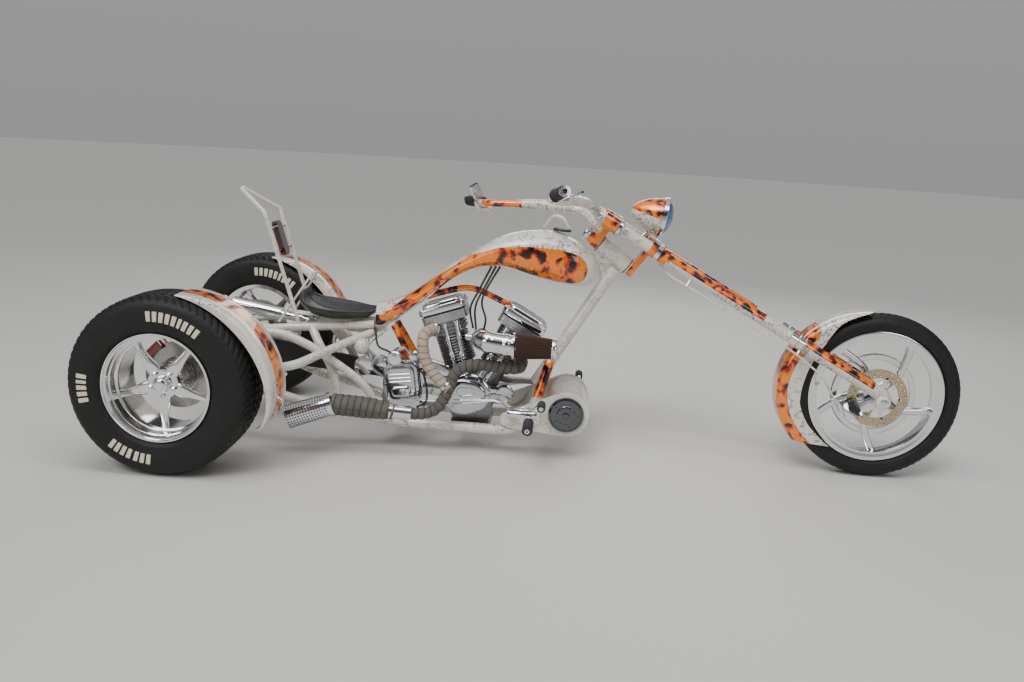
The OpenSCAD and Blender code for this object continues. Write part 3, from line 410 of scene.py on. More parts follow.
def part(grid, **closing):
    """Points and outward faces of a grid of points."""
    points = grid.reshape(-1, 3)
    return points, outward(points, weave_faces(grid.shape[0], grid.shape[1], **closing))


def tube(path, radius, n=26):
    """Rings of the radius round a path: point + r(side cos a + up sin a)."""
    side, up = across(path)
    a = np.linspace(0, 2 * np.pi, n, endpoint=False)[None, :, None]
    r = np.asarray(radius, float).reshape(-1, 1, 1)
    return path[:, None] + r * (side[:, None] * np.cos(a) + up[:, None] * np.sin(a))


def rod(points, radius, step, n=26):
    """A round bar along a line, with a ring about every `step`."""
    return part(tube(even(np.array(points, float), step)[0], radius, n))


def turned(profile, centre, axis, n=48, start=(0, 0, 1)):
    """A profile of (radius, distance along) carried round an axis."""
    axis = unit(axis)
    first = unit(np.cross(axis, start if abs(np.dot(axis, start)) < 0.95 else (1, 0, 0)))
    second = np.cross(axis, first)
    a = np.linspace(0, 2 * np.pi, n, endpoint=False)
    profile = np.array(profile, float)
    around = first * np.cos(a)[:, None] + second * np.sin(a)[:, None]
    return np.array(centre, float) + profile[:, None, :1] * around + profile[:, None, 1:] * axis


def lathe(profile, centre, axis, n=48, closed=False):
    """A turned part: solid with flat ends, or a ring if its profile is closed."""
    return part(turned(profile, centre, axis, n), close_m=closed)


def stack(parts):
    """Several parts as one: points joined, face numbers moved on."""
    points = np.vstack([p for p, _ in parts])
    faces, start = [], 0
    for p, f in parts:
        faces += [[k + start for k in face] for face in f]
        start += len(p)
    return points, faces


def piece(name, shape, finish, body="chassis", replaces=(), stripe=None, sharp=35):
    """An object from a part or a list of parts in millimetres, smooth up to an angle, riding on a body."""
    points, faces = stack(shape) if isinstance(shape, list) else shape
    mesh = bpy.data.meshes.new(name)
    mesh.from_pydata((points * 0.001).tolist(), [], faces)
    mesh.polygons.foreach_set("use_smooth", [len(f) < 6 for f in faces])
    mesh.set_sharp_from_angle(angle=math.radians(sharp))
    if stripe is not None:
        mesh.attributes.new("stripe", "FLOAT", "POINT").data.foreach_set("value", stripe.astype(np.float32))
    mesh.materials.append(finish)
    made = placed(name, mesh)
    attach(made, body)
    if replaces:
        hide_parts(*replaces)
    return made


def panel(signed, soft=24.0):
    """Stripe attribute from a signed distance in millimetres: one half on the line."""
    return np.clip(0.5 + signed / soft, 0, 1)


fork_joint = np.array([neck[0] - 215, 0, 425])
rail_y, rail_z = 130, 108
rail = [fork_joint + [-8, 16, 5], fork_joint + [-22, 66, -30], [neck[0] - 274, rail_y - 20, 255],
    [neck[0] - 328, rail_y, 142], [neck[0] - 395, rail_y, rail_z], [gearbox[0] - 10, rail_y, rail_z],
    [joint_x - 105, rail_y + 70, 172], [rear_x + 383, rail_y + 95, 197],
    [rear_x + 20, rail_y + 110, rear_r - 20]]
stay = [[joint_x + 4, 42, 468], [joint_x - 85, 140, 440], [rear_x + 421, stay_y - 8, 387],
    [rear_x + 90, stay_y, rear_r + 12], [rear_x + 10, stay_y, rear_r + 2]]
post = [[joint_x - 240, 104, 484], [joint_x - 199, 142, 424], [joint_x - 118, 180, 311],
    [joint_x - 101, rail_y + 70, 176]]
arch = [[gearbox[0] - 66, rail_y + 8, rail_z + 14], [gearbox[0] - 148, 180, 282], [joint_x - 221, 200, 431],
    [rear_x + 289, 200, 484], [rear_x + 60, 200, 440], [rear_x + 6, 200, rear_r + 20]]
for side, sign in sides:
    path, _ = even(bent(np.array(rail) * [1, sign, 1], 55), 9)
    points, faces = part(tube(path, 22))
    cradle = np.minimum(408 - points[:, 2], points[:, 2] - 262) - 400 * (points[:, 0] < neck[0] - 420)
    piece(side + "_rail_tube", (points, faces), body_paint, "chassis", [side + "_lower_rail"],
        panel(cradle))
    legs = [rod(bent(np.array(line) * [1, sign, 1], 70), 18, 9) for line in (stay, post, arch)]
    piece(side + "_stay_tubes", legs, cream_paint, "chassis", [side + "_rear_stays"])
dress(["neck_and_downtube", "top_rails", "rear_axle"], cream_paint)
dress(["rear_calipers"], red_paint, bevel=3)

# The fuel tank: a long steel shell, round at the nose and drawn out to the seat, with a candy
# teardrop on each side and a black cap on top.
tank_stations = [[-72, 838, 786, 30], [-80, 862, 746, 62], [-112, 884, 727, 90], [-168, 922, 726, 112],
    [-258, 950, 738, 121], [-348, 949, 757, 121], [-438, 930, 782, 115], [-518, 893, 784, 106],
    [-598, 842, 760, 98], [-678, 790, 712, 88], [-758, 716, 642, 77], [-838, 654, 575, 66],
    [-918, 614, 515, 55], [-988, 594, 466, 44]]
rows = flow(tank_stations, 170)
a = np.linspace(0, 2 * np.pi, 120, endpoint=False)
ca, sa = np.cos(a), np.sin(a)
round_y, round_z = np.sign(ca) * np.abs(ca) ** 0.8, np.sign(sa) * np.abs(sa) ** 0.85
middle, tall = (rows[:, 1] + rows[:, 2]) / 2, (rows[:, 1] - rows[:, 2]) / 2
grid = np.stack([np.repeat(rows[:, :1] + neck[0], 120, 1), -rows[:, 3:4] * round_y,
    middle[:, None] + tall[:, None] * round_z], axis=-1)
points, faces = part(grid)
drop_x = [-700, -593, -451, -330, -209, -91, 36, 95, 122, 142, 150, 155]
high = np.interp(points[:, 0], drop_x, [548, 641, 747, 834, 876, 888, 884, 870, 858, 838, 824, 806])
low = np.interp(points[:, 0], drop_x, [505, 580, 690, 770, 806, 776, 748, 746, 752, 766, 782, 804])
inside = np.minimum(high - points[:, 2], points[:, 2] - low) * 0.75
inside = np.where(points[:, 0] > 156, -30, inside)
piece("tank_shell", (points, faces), body_paint, "chassis", ["fuel_tank"], panel(inside))

cap = [(38, 26), (38, 33), (36, 36), (30, 37), (29, 35), (24, 35), (22, 38), (10, 40)]
piece("tank_cap", lathe(cap, [neck[0] - 224, 0, 925], [0.06, 0, 1]), black_paint, "chassis")

# The seat: a foam pad on a shell, in dark leather with three sewn channels and a piped edge.
dress(["sissy_bar"], cream_paint)
seat_rows = [[-124, 628, 70, 10], [-118, 590, 104, 26], [-90, 560, 128, 40], [-45, 543, 140, 48],
    [15, 536, 140, 48], [80, 540, 122, 40], [135, 551, 92, 26], [180, 566, 56, 10]]


def leather():
    """Dark leather: cells for the grain, blotched tone, a soft shine."""
    made, tree, shader = coating("seat_leather", Coat_Weight=0.15, Coat_Roughness=0.3)
    place = marked(tree, shader, 0.36, 0.3)
    cells = put(tree, "TexVoronoi", ("Vector", place), ("Scale", 420.0), feature="DISTANCE_TO_EDGE")
    tone = noise(tree, place, 20.0, 6.0)
    both = blend(tree, tone, (0.012, 0.012, 0.013, 1), (0.05, 0.048, 0.046, 1))
    coloured(tree, shader, both)
    bumped(tree, shader, cells.outputs["Distance"], 0.0006)
    return made


seat_leather = leather()
rows = flow(seat_rows, 90)
line = np.stack([rows[:, 0] + joint_x - 174, 0 * rows[:, 0], rows[:, 1]], axis=1)
run = np.gradient(line, axis=0)
run /= np.linalg.norm(run, axis=1)[:, None]
lift = np.stack([-run[:, 2], run[:, 1], run[:, 0]], axis=1)
v = np.linspace(-1, 1, 81)
edge = np.sqrt(np.clip(1 - np.abs(v) ** 5, 0, 1))
ends = np.clip(np.minimum(np.arange(90), np.arange(90)[::-1]) / 9.0, 0, 1)[:, None] ** 0.5
sewn = -3.2 * np.exp(-((np.abs(v) - 0.36) / 0.035) ** 2) - 3.2 * np.exp(-((np.abs(v) - 0.80) / 0.035) ** 2)
dish = rows[:, 3:4] * v ** 2
crown_up = -3 + dish + (sewn - 2) * ends + 2 * (1 - v ** 2)
crown_down = dish - 13 - 12 * edge * ends
crown_up = np.where(np.abs(v) > 0.9, (crown_up - (dish - 13)) * edge + dish - 13, crown_up)
flank = line[:, None] + np.array([0, 1, 0]) * (v * rows[:, 2:3])[..., None]
upper, lower = (flank + lift[:, None] * crown[..., None] for crown in (crown_up, crown_down))
seat = piece("seat_pad", part(np.concatenate([upper, lower[:, ::-1]], axis=1)), seat_leather, "chassis",
    ["seat"], sharp=60)

# The exhausts: steel pipes wound with glass-fibre tape, lighter on the rear pipe, and a wrapped
# muffler with a perforated chrome tip.
def tape(name, tint, pale):
    """Woven tape: a fine weave from the piece's own UV map, one turn of tape for each 28 mm of V, with
    painted shade darkening each turn towards the next lap's edge.
    """
    made, tree, shader = coating(name)
    place = marked(tree, shader, 0.62, 0.3)
    own = put(tree, "UVMap", uv_map="wound")
    weave = put(tree, "TexChecker", ("Vector", own.outputs["UV"]), ("Scale", 1.0))
    spread_out = put(tree, "Mapping", ("Vector", own.outputs["UV"]), ("Scale", (90.0, 18.0, 1.0)))
    tree.links.new(spread_out.outputs["Vector"], weave.inputs["Vector"])
    stain = noise(tree, place, 26.0, 8.0, Roughness=0.7)
    both = blend(tree, stain, (*tint, 1), (*pale, 1))
    # Painted shade: the last third of each turn darkens towards the step where the next lap overhangs it.
    lap = put(tree, "SeparateXYZ", ("Vector", own.outputs["UV"]))
    within = maths(tree, "FRACT", lap.outputs["Y"])
    shade = between(tree, within, 0.68, 1.0, to_high=0.8)
    lap_shadowed = blend(tree, shade, both, (0.03, 0.026, 0.022, 1))
    coloured(tree, shader, lap_shadowed)
    bumped(tree, shader, weave.outputs["Fac"], 0.0006)
    return made


dark_tape = tape("dark_tape", (0.07, 0.062, 0.055), (0.19, 0.17, 0.15))
tan_tape = tape("tan_tape", (0.40, 0.30, 0.23), (0.70, 0.56, 0.46))


def wound(path, radius, n=40, pitch=27.0, thick=4.0):
    """A tube whose radius falls by `thick` across each turn of tape: a saw tooth of length / pitch + turn."""
    line, at = even(path, 3.5)
    r = np.interp(at, np.linspace(0, at[-1], np.size(radius)), np.atleast_1d(radius))
    turn = np.linspace(0, 1, n, endpoint=False)
    lap = (at[:, None] / pitch + turn[None]) % 1.0
    rr = r[:, None] - thick * lap
    side, up = across(line)
    a = 2 * np.pi * turn[None, :, None]
    grid = line[:, None] + rr[..., None] * (side[:, None] * np.cos(a) + up[:, None] * np.sin(a))
    return grid, np.stack([np.broadcast_to(turn, lap.shape), at[:, None] / pitch + turn[None]], axis=-1)


def lay_map(made, uv):
    """The piece's own UV map, from one row for each point."""
    loops = np.zeros(len(made.data.loops), int)
    made.data.loops.foreach_get("vertex_index", loops)
    made.data.uv_layers.new(name="wound").data.foreach_set("uv", uv[loops].astype(np.float32).ravel())


def wound_piece(name, runs, finish, replaces):
    """Tape-wound runs as one piece, with their UV map."""
    built = stack([part(grid) for grid, _ in runs])
    made = piece(name, built, finish, "chassis", replaces, sharp=50)
    lay_map(made, np.vstack([u.reshape(-1, 2) for _, u in runs]))


tip_start, tip_dir = engine + [-545, -300, 27], unit([-175, -22, -62])
front_run = bent(engine + np.array([[200, -66, 262], [216, -150, 192], [8, -178, 208], [-62, -196, 176],
    [-85, -220, 82], [-130, -240, 8], [-210, -254, -4], [-282, -266, 5]]), 42)
can_run = bent(engine + np.array([[-270, -264, 3], [-330, -274, 8], [-400, -282, 17], [-545, -300, 27]]), 30)
rear_run = bent(engine + np.array([[-168, -62, 318], [-212, -150, 312], [-190, -184, 205], [-130, -205, 140],
    [-77, -224, 100]]), 48)
wound_piece("front_pipe_wrap", [wound(front_run, 26), wound(can_run, [26, 38, 44, 46, 46, 46], 48)],
    dark_tape, ["front_exhaust"])
wound_piece("rear_pipe_wrap", [wound(rear_run, 26)], tan_tape, ["rear_exhaust"])

# The rear fenders: pressed steel arches over the front of each wheel, cream with a dark candy band
# along the crown, held by a bracket to the stay and a chrome strut.
def arch_skin(middle, angles, crown_r, edge_angle, edge_r, y_mid, half, square, n=44):
    """From the side's edge over the crown to the other side: edge + (crown - edge)|cos f|^square in the
    wheel's plane and half |sin f|^square across it, for f from -90 to 90 degrees."""
    f = np.linspace(-np.pi / 2, np.pi / 2, 400)
    rise, width = np.abs(np.cos(f)) ** square, np.sign(f) * np.abs(np.sin(f)) ** square
    flat = np.stack([rise * 60, width * half, 0 * f], axis=1)
    length = np.r_[0, np.cumsum(np.linalg.norm(np.diff(flat, axis=0), axis=1))]
    want = np.linspace(0, length[-1], n)
    rise, width = np.interp(want, length, rise), np.interp(want, length, width)
    c, e = np.radians(angles)[:, None], np.radians(edge_angle)[:, None]
    crown_r, edge_r = crown_r[:, None], edge_r[:, None]
    x = edge_r * np.cos(e) + (crown_r * np.cos(c) - edge_r * np.cos(e)) * rise
    z = edge_r * np.sin(e) + (crown_r * np.sin(c) - edge_r * np.sin(e)) * rise
    grid = np.stack([middle[0] + x, y_mid + half * width + 0 * x, middle[2] + z], axis=-1)
    return grid, width


def shell(grid, wall):
    """A closed wall: the skin and a copy moved in along the normals, joined round the rim."""
    du, dv = np.gradient(grid, axis=0), np.gradient(grid, axis=1)
    normal = np.cross(du, dv)
    normal /= np.maximum(np.linalg.norm(normal, axis=2, keepdims=True), 1e-9)
    centre = grid.mean((0, 1))
    if np.sum(normal * (grid - centre)) < 0:
        normal = -normal
    inner = grid - normal * wall
    return np.concatenate([grid, inner[:, ::-1]], axis=1)


def on_outside(band, never=-40):
    """A shell's signed distances: the band's on its skin and none on its inner face."""
    return np.concatenate([band, never + 0 * band], axis=1).ravel()


def crown_line(t, r, gaps, swell, lean):
    """Crown radius: r + gap0 + (gap1 - gap0) t + swell sin(180 t^lean)."""
    return r + gaps[0] + (gaps[1] - gaps[0]) * t + swell * np.sin(np.pi * t ** lean)


wheel_y, sheet_wall = track / 2, 3
rear_middle = np.array([rear_x, 0, rear_r])
front_middle = np.array([front_x, 0, front_r])
fender_y0, fender_y1 = wheel_y - rear_w / 2 + 8, wheel_y + rear_w / 2 - 60
for side, sign in sides:
    t = np.linspace(0, 1, 100)
    over = crown_line(t, rear_r, (46, 10), 43, 0.5)
    turn = -22 + 102 * t
    rim_r = over - 5 - 36 * np.sin(np.pi * t)
    grid, width = arch_skin(rear_middle, turn, over, turn, rim_r,
        sign * (fender_y0 + fender_y1) / 2, (fender_y1 - fender_y0) / 2, 0.42)
    band = np.minimum(0.50 - np.abs(width)[None] - 0.1 * t[:, None], t[:, None] * 3 - 0.12) * 90
    stripe = panel(on_outside(band))
    bracket = rod([[rear_x + 365, sign * (stay_y - 4), rear_r + 32],
        [rear_x + 415, sign * (fender_y0 + 2), rear_r + 28.0]], 8, 5, 20)
    points, faces = stack([part(shell(grid, sheet_wall)), bracket])
    stripe = np.r_[stripe, np.zeros(len(bracket[0]))]
    piece(side + "_fender_shell", (points, faces), body_paint, "chassis",
        [side + "_rear_fender"], stripe, 50)
    strut = bent([[rear_x + 384, sign * 430, 358], [rear_x + 366, sign * 452, 300],
        [rear_x + 376, sign * 470, 215]], 60)
    clamps = [lathe([(13, -8), (15, -6), (15, 6), (13, 8)], strut[k], strut[k] - strut[j], 24)
        for k, j in ((0, 1), (-1, -2))]
    piece(side + "_fender_strut", [rod(strut, 7, 5, 18)] + clamps, chrome)


# The tyres: wide ribbed road tyres behind and a slim one in front, black rubber with moulded
# tread, raised sidewall rings, and plain raised cream bars on the rear sidewalls.
def rubber():
    """Rubber greyed by dust; where the mark attribute is up it is cream."""
    made, tree, shader = coating("tyre_rubber", Specular_IOR_Level=0.32)
    place = marked(tree, shader, 0.46, 0.35)
    dust = noise(tree, place, 9.0, 9.0, Roughness=0.7)
    tone = blend(tree, dust, (0.004, 0.004, 0.004, 1), (0.020, 0.019, 0.018, 1))
    bars = put(tree, "Attribute", attribute_name="mark")
    sharp = between(tree, bars.outputs["Fac"], 0.45, 0.55)
    both = blend(tree, sharp, tone, (0.72, 0.66, 0.50, 1))
    coloured(tree, shader, both)
    bumped(tree, shader, noise(tree, place, 650.0, 2.0), 0.0003)
    return made


tyre_rubber = rubber()


def tyre_grid(middle, bead_r, seat, flange_r, half, r, roundness, grooves, sipes, bars, around=432):
    """A tyre's outline carried round Y. Above the flange it is wide_r + (r - wide_r) sin^round and
    half cos^round; grooves and slanted sipes press the tread in, and thin rings stand on the sides."""
    wide = flange_r + (r - flange_r) * 0.42
    f = np.linspace(0, np.pi, 900)
    outline = np.stack([wide + (r - wide) * np.sin(f).clip(0) ** roundness,
        -half * np.sign(np.cos(f)) * np.abs(np.cos(f)) ** roundness, 0 * f], axis=1)
    low = np.array([[bead_r + 0.4, -seat, 0], [flange_r + 1, -seat, 0],
        [flange_r + (r - flange_r) * 0.12, -half + 6, 0]])
    path = np.vstack([low, outline, low[::-1] * [1, -1, 1]])
    line, _ = even(path, 4.2)
    line = np.vstack([line, [[bead_r + 0.4, seat * k, 0] for k in (0.6, 0.2, -0.2, -0.6)]])
    rad, y = line[:, 0][None], line[:, 1][None]
    a = np.linspace(0, 2 * np.pi, around, endpoint=False)[:, None]
    tread = np.clip((rad - (r - 15)) / 5, 0, 1)
    cut = np.zeros((around, len(line)))
    for place, width in grooves:
        cut = np.maximum(cut, np.clip(1.5 - np.abs(np.abs(y) - place) / (width / 2), 0, 1) + 0 * a)
    slant = (a / (2 * np.pi) * sipes + np.abs(y) / 46 + 0.12 * np.sign(y)
        + 0.25 * (np.abs(y) > grooves[0][0])) % 1.0
    nick = np.clip(1.4 - np.abs(slant - 0.5) / 0.13, 0, 1) * (np.abs(y) > 4)
    cut = np.maximum(cut, nick * 0.75) * tread
    shoulder = np.clip(1 - np.abs(rad - (r - 24)) / 12, 0, 1) * (np.abs(y) > half * 0.6)
    tick = ((a / (2 * np.pi) * sipes) % 1.0 < 0.3) * shoulder * 0.4
    mark = np.zeros_like(cut)
    band = (rad > flange_r + (r - flange_r) * 0.33) & (rad < flange_r
        + (r - flange_r) * 0.61) & (np.abs(y) > seat)
    degrees = np.degrees(a) % 360
    for begin, end, count in bars:
        inside = (degrees > begin) & (degrees < end)
        beat = ((degrees - begin) / (end - begin) * count) % 1.0
        mark = np.maximum(mark, (inside & (beat < 0.66) & band) * 1.0)
    out = np.sign(y) * (0.9 * mark + 1.1 * np.exp(-((rad - flange_r - 9) / 2.2) ** 2)
        + 0.9 * np.exp(-((rad - (r - 30)) / 1.8) ** 2)) * (np.abs(y) > seat * 0.9)
    out = np.where(np.abs(y) > half - 1.2, np.minimum(out * np.sign(y), 0) * np.sign(y), out)
    rr = rad - 7.5 * cut - 3 * tick
    yy = np.clip(y + out, -half, half)
    grid = np.stack([middle[0] + rr * np.cos(a), middle[1] + yy + 0 * rr, middle[2] + rr * np.sin(a)],
        axis=-1)
    return grid, mark


def tyre(name, middle, sizes, body, replaced):
    """One tyre with its marks."""
    grid, mark = tyre_grid(middle, *sizes)
    made = piece(name, part(grid, close_m=True), tyre_rubber, body, [replaced], sharp=40)
    made.data.attributes.new("mark", "FLOAT", "POINT").data.foreach_set("value",
        mark.ravel().astype(np.float32))


rear_half = rear_w / 2 - 12
for side, sign in sides:
    tyre(side + "_road_tyre", rear_middle + [0, sign * wheel_y, 0],
        (198, rear_half - 8, 208, rear_w / 2, rear_r, 0.42, ((20, 9), (58, 9)), 66,
        ((52, 96, 9), (172, 196, 5), (232, 268, 7))), side + "_rear_wheel", side + "_rear_tyre")
tyre("slim_tyre", front_middle, (267, 36, 279, 60, front_r, 0.85, ((12, 5), (30, 4)), 72, ()), "front_wheel",
    "front_tyre")

# The rear wheels: cast and polished rims with five rounded spokes, a centre cap, lug nuts, and the
# steel brake disc that is bolted behind them.
def circle_of(middle, r, degrees):
    """Places on a circle round an axis along Y."""
    return [middle + np.array([r * math.cos(k), 0, r * math.sin(k)]) for k in np.radians(degrees)]


def spoke(profile, middle, sign, degrees, n=28):
    """A lofted arm along a radius: rows of (radius, offset, half width, face, depth), each an oval whose
    corners are squared by the power 0.7."""
    rows = flow(profile, 26)
    a = np.linspace(0, 2 * np.pi, n, endpoint=False)
    c, s = np.sign(np.cos(a)) * np.abs(np.cos(a)) ** 0.7, np.sign(np.sin(a)) * np.abs(np.sin(a)) ** 0.7
    u = rows[:, :1] + 0 * c
    w = rows[:, 1:2] + rows[:, 2:3] * c
    y = sign * (rows[:, 3:4] - rows[:, 4:5] + rows[:, 4:5] * s)
    k = math.radians(degrees)
    return part(np.stack([middle[0] + u * math.cos(k) + w * math.sin(k), middle[1] + y,
        middle[2] - u * math.sin(k) + w * math.cos(k)], axis=-1))


face, disc_y = rear_half - 78, 471.5
disc_steel = metal("rear_disc_steel", (0.42, 0.40, 0.37), 0.2, 0.2, (160.0, 0.0001), 0.4)
for side, sign in sides:
    middle = rear_middle + [0, sign * wheel_y, 0]
    out = [0, sign, 0]
    lip = [(189, -115), (207, -115.4), (207.8, -113), (207.8, -108.5), (198, -107.5), (197.8, 107.5),
        (207.8, 108.5), (207.8, 113), (206, 115.4), (202, 115), (200, 112), (199.6, 106), (193, 104),
        (191.5, 98), (190.5, 84), (186, 82), (185, 76), (184.6, face + 4), (178, face + 1), (177, face - 6),
        (184, face - 12), (186, -60), (188, -100)]
    parts = [lathe(lip, middle, out, 120, closed=True)]
    parts += [spoke([[44, 0, 27, face + 9, 9], [80, 0, 24, face + 11, 9], [120, 0, 16, face + 7, 9],
        [158, 0, 13.5, face + 2, 8], [182, 0, 17, face + 1, 8]], middle, sign, k * 72 + 90) for k in range(5)]
    parts += [lathe([(20.2, -46), (60, -46), (62, -43), (62, face + 2), (58, face + 8), (50, face + 9.5),
        (38, face + 9.5), (20.2, face + 9.5)], middle, out, 72, closed=True)]
    parts += [lathe([(34, face + 8), (34, face + 24), (32.5, face + 27), (30, face + 28), (28, face + 33),
        (24, face + 37), (14, face + 39.6), (4, face + 40)], middle, out, 60)]
    nuts = [lathe([(9.5, face + 8), (9.5, face + 14), (8, face + 20), (5, face + 22)], stud, out, 6)
        for stud in circle_of(middle, 46, np.arange(5) * 72 + 54)]
    piece(side + "_polished_rim", parts, polished, side + "_rear_wheel",
        [side + "_rear_rim"])
    piece(side + "_lug_nuts", nuts, chrome, side + "_rear_wheel", sharp=25)
    d = wheel_y - disc_y
    disc = [(72, -d), (131, -d), (132, -d + 1), (132, -d + 9), (131, -d + 10), (72, -d + 10)]
    bell = [(22, -d + 8), (70, -d + 8), (70, -30), (66, -29), (22, -29)]
    piece(side + "_brake_disc", [lathe(disc, middle, out, 96, closed=True),
        lathe(bell, middle, out, 72, closed=True)], disc_steel, side + "_rear_wheel")

# The front wheel: a polished cast rim with stepped lips and five swept arms, an inner ring, and a
# bronze-coloured brake disc with drilled holes on the right.
lip = [(243, -40), (256, -41), (262, -43), (276, -44), (278.8, -43), (278.8, -37), (267.3, -36), (267, 36),
    (278.8, 37), (278.8, 43), (276, 44), (270, 43.6), (267, 41), (259, 40), (256, 36), (250, 35), (247, 30),
    (243.5, 24), (243.2, -24), (243, -32)]
arm = [[38, 0, 24, 13, 13], [90, -14, 19, 13, 13], [130, -18, 15, 13, 13], [172, -3, 17, 12.5, 12.5],
    [210, 14, 18, 12, 12], [244, 33, 20, 12, 12]]
parts = [lathe(lip, front_middle, (0, 1, 0), 144, closed=True)]
parts += [spoke(arm, front_middle, 1, k * 72 + 20) for k in range(5)]
parts += [lathe([(10.3, -48), (38, -48), (42, -46), (44, -42), (44, 42), (42, 46), (38, 48), (10.3, 48)],
    front_middle, (0, 1, 0), 72, closed=True)]
parts += [lathe([(150, 4), (152, 2), (172, 2), (176, 6), (176, 13), (173, 16), (153, 16), (150, 13)],
    front_middle, (0, 1, 0), 120, closed=True)]
piece("swept_arm_rim", parts, polished, "front_wheel", ["front_rim"])


def drilled(inner, outer, y0, y1, holes, hole_r, middle):
    """A disc with two rows of dimples: its faces sink where a point is near a hole's middle."""
    rad = np.linspace(inner, outer, 22)
    rings = np.r_[rad, rad[::-1]]
    level = np.r_[np.full(22, y1), np.full(22, y0)]
    a = np.linspace(0, 2 * np.pi, 480, endpoint=False)[:, None]
    sink = np.zeros((480, 44))
    for k, row in enumerate((inner + (outer - inner) * 0.3, inner + (outer - inner) * 0.7)):
        step = 2 * np.pi / holes
        off = ((a + k * step / 2 + step / 2) % step - step / 2) * rings
        sink = np.maximum(sink, np.clip((hole_r - np.hypot(off, rings - row)) / 1.5, 0, 1))
    y = level - np.sign(level - (y0 + y1) / 2) * sink * (y1 - y0) * 0.45
    return part(np.stack([middle[0] + rings * np.cos(a), middle[1] + y, middle[2] + rings * np.sin(a)],
        axis=-1), close_m=True)


carrier = [spoke([[30, 0, 11, -53, 2.4], [60, 0, 8, -53, 2.4], [96, 0, 9, -53, 2.4]], front_middle, 1,
    k * 72) for k in range(5)]
rivets = [lathe([(6, -58), (6, -51)], place, (0, 1, 0), 20)
    for place in circle_of(front_middle, 91, np.arange(5) * -72)]
piece("front_drilled_disc", drilled(86, 124, -58, -52, 24, 4.2, front_middle), brass, "front_wheel")
piece("front_disc_carrier", carrier + rivets + [lathe([(10.3, -57.5), (50, -57.5), (52, -56),
    (52, -48.2), (10.3, -48.2)], front_middle, (0, 1, 0), 60, closed=True)], polished, "front_wheel")

# The front fender: one pressed shell over the back of the tyre, cream with inked sides and a candy
# band down its back.
t = np.linspace(0, 1, 110)
over = crown_line(t, front_r, (17, 39), 34, 1.35)
square = 0.36
edge_at = [112, 123, 137, 150, 168, 188, 205, 218, 232]
edge_turn = 112 + 120 * t
edge_r = front_r + np.interp(edge_turn, edge_at, [12, 8, -25, -34, -36, -31, -46, -62, -68])
grid, width = arch_skin(front_middle, 100 + 113 * t, over, edge_turn, edge_r, 0, 69.7, square)
rise = np.clip(1 - np.abs(width) ** (1 / square), 0, 1) ** (square / 2)
band = np.minimum((t[:, None] - 0.30) * 160, (rise[None] - 0.55
    + 0.35 * np.clip(t[:, None] - 0.75, 0, 1)) * 60)
piece("front_fender_shell", part(shell(grid, sheet_wall)), body_paint, "fork",
    ["front_fender"], panel(on_outside(band)), 50)

# The fork: two long tubes and their lowers in cream with a candy strip along the top, and chrome
# collars where they meet. The trees and clamps are candy.
slope = math.atan2(drop, reach) + math.asin(offset / math.hypot(reach, drop))
stem = slope + math.radians(7)
fork_len = math.sqrt(reach ** 2 + drop ** 2 - offset ** 2) + 145
down = np.array([math.cos(slope), 0, -math.sin(slope)])
rise_dir = np.array([math.sin(slope), 0, math.cos(slope)])
stem_down = np.array([math.cos(stem), 0, -math.sin(stem)])
stem_rise = np.array([math.sin(stem), 0, math.cos(stem)])
foot = front_middle + 24 * rise_dir


def along_line(points, start, run, rise):
    """Rows of (down a line, to the left, off the line) as places on the trike."""
    p = np.array(points, float)
    return start + p[..., :1] * run + p[..., 1:2] * np.array([0, 1, 0]) + p[..., 2:3] * rise


def on_fork(points):
    return along_line(points, foot, down, rise_dir)


def on_stem(points):
    return along_line(points, neck, stem_down, stem_rise)


leg_y, leg_r, tube_end = 100, 25, -404
for side, sign in sides:
    leg = foot + [0, sign * leg_y, 0]
    h = np.linspace(-fork_len, tube_end, 180)
    points, faces = part(turned(np.c_[leg_r + 0 * h, h], leg, down, 64, start=(0, 1, 0)))
    local = points - leg
    along_fork = local @ down
    facing = (local @ rise_dir - 0.35 * local[:, 1]) / leg_r
    ends = np.minimum((along_fork + fork_len - 300) / 60, (-600 - along_fork) / 60)
    strip = panel(np.minimum(facing - 0.25, ends) * 30)
    piece(side + "_fork_tube", (points, faces), body_paint, "fork", [side + "_fork_leg"],
        strip)
    lower = ([(26, -402), (29.5, -400), (30, -396), (30, -300), (29.6, -262)]
        + [(28, k) for k in np.linspace(-250, -40, 60)] + [(27, -8), (23, 12), (14, 25), (6, 30)])
    boss = lathe([(27, 0), (27, 62), (25, 64)], front_middle + [0, sign * 68, 0], (0, sign, 0))
    points, faces = stack([part(turned(lower, leg, down, 64, start=(0, 1, 0))), boss])
    local = points - leg
    facing = (local @ rise_dir - 0.3 * local[:, 1]) / 28
    strip = np.minimum(facing - 0.35, (-66 - local @ down) / 40) * 30
    strip[64 * len(lower):] = -20
    piece(side + "_fork_lower", (points, faces), body_paint, "fork", (), panel(strip))
    rings = [lathe([(25.3, x), (r, x + 1.5), (r, x + w - 1.5), (25.3, x + w)], leg, down, 56)
        for x, r, w in ((-470, 27.5, 34), (-432, 29.4, 26), (tube_end, 28.6, 5))]
    piece(side + "_fork_collars", rings, chrome, "fork")
    bands = [lathe([(34.8, x), (36, x + 1), (36, x + w - 1), (34.8, x + w)], leg, down, 56, closed=True)
        for x, w in ((-fork_len + 86, 14), (-fork_len + 268, 20))]
    piece(side + "_clamp_bands", bands, chrome, "fork")
    cap_line = [(24, -fork_len - 1), (24, -fork_len - 5), (21, -fork_len - 9), (9, -fork_len - 10)]
    piece(side + "_fork_cap", lathe(cap_line, leg, down), chrome, "fork")
clips = [rod(on_fork([[x, -100, 0], [x, -120, -52]]), 5, 6, 16) for x in (-940, -404)]
hose_line = [[-1090, -62, -30], [-1030, -100, -54], [-860, -118, -48], [-520, -120, -44], [-404, -122, -44],
    [-260, -124, -66], [-170, -104, -116], [-112, -84, -132]]
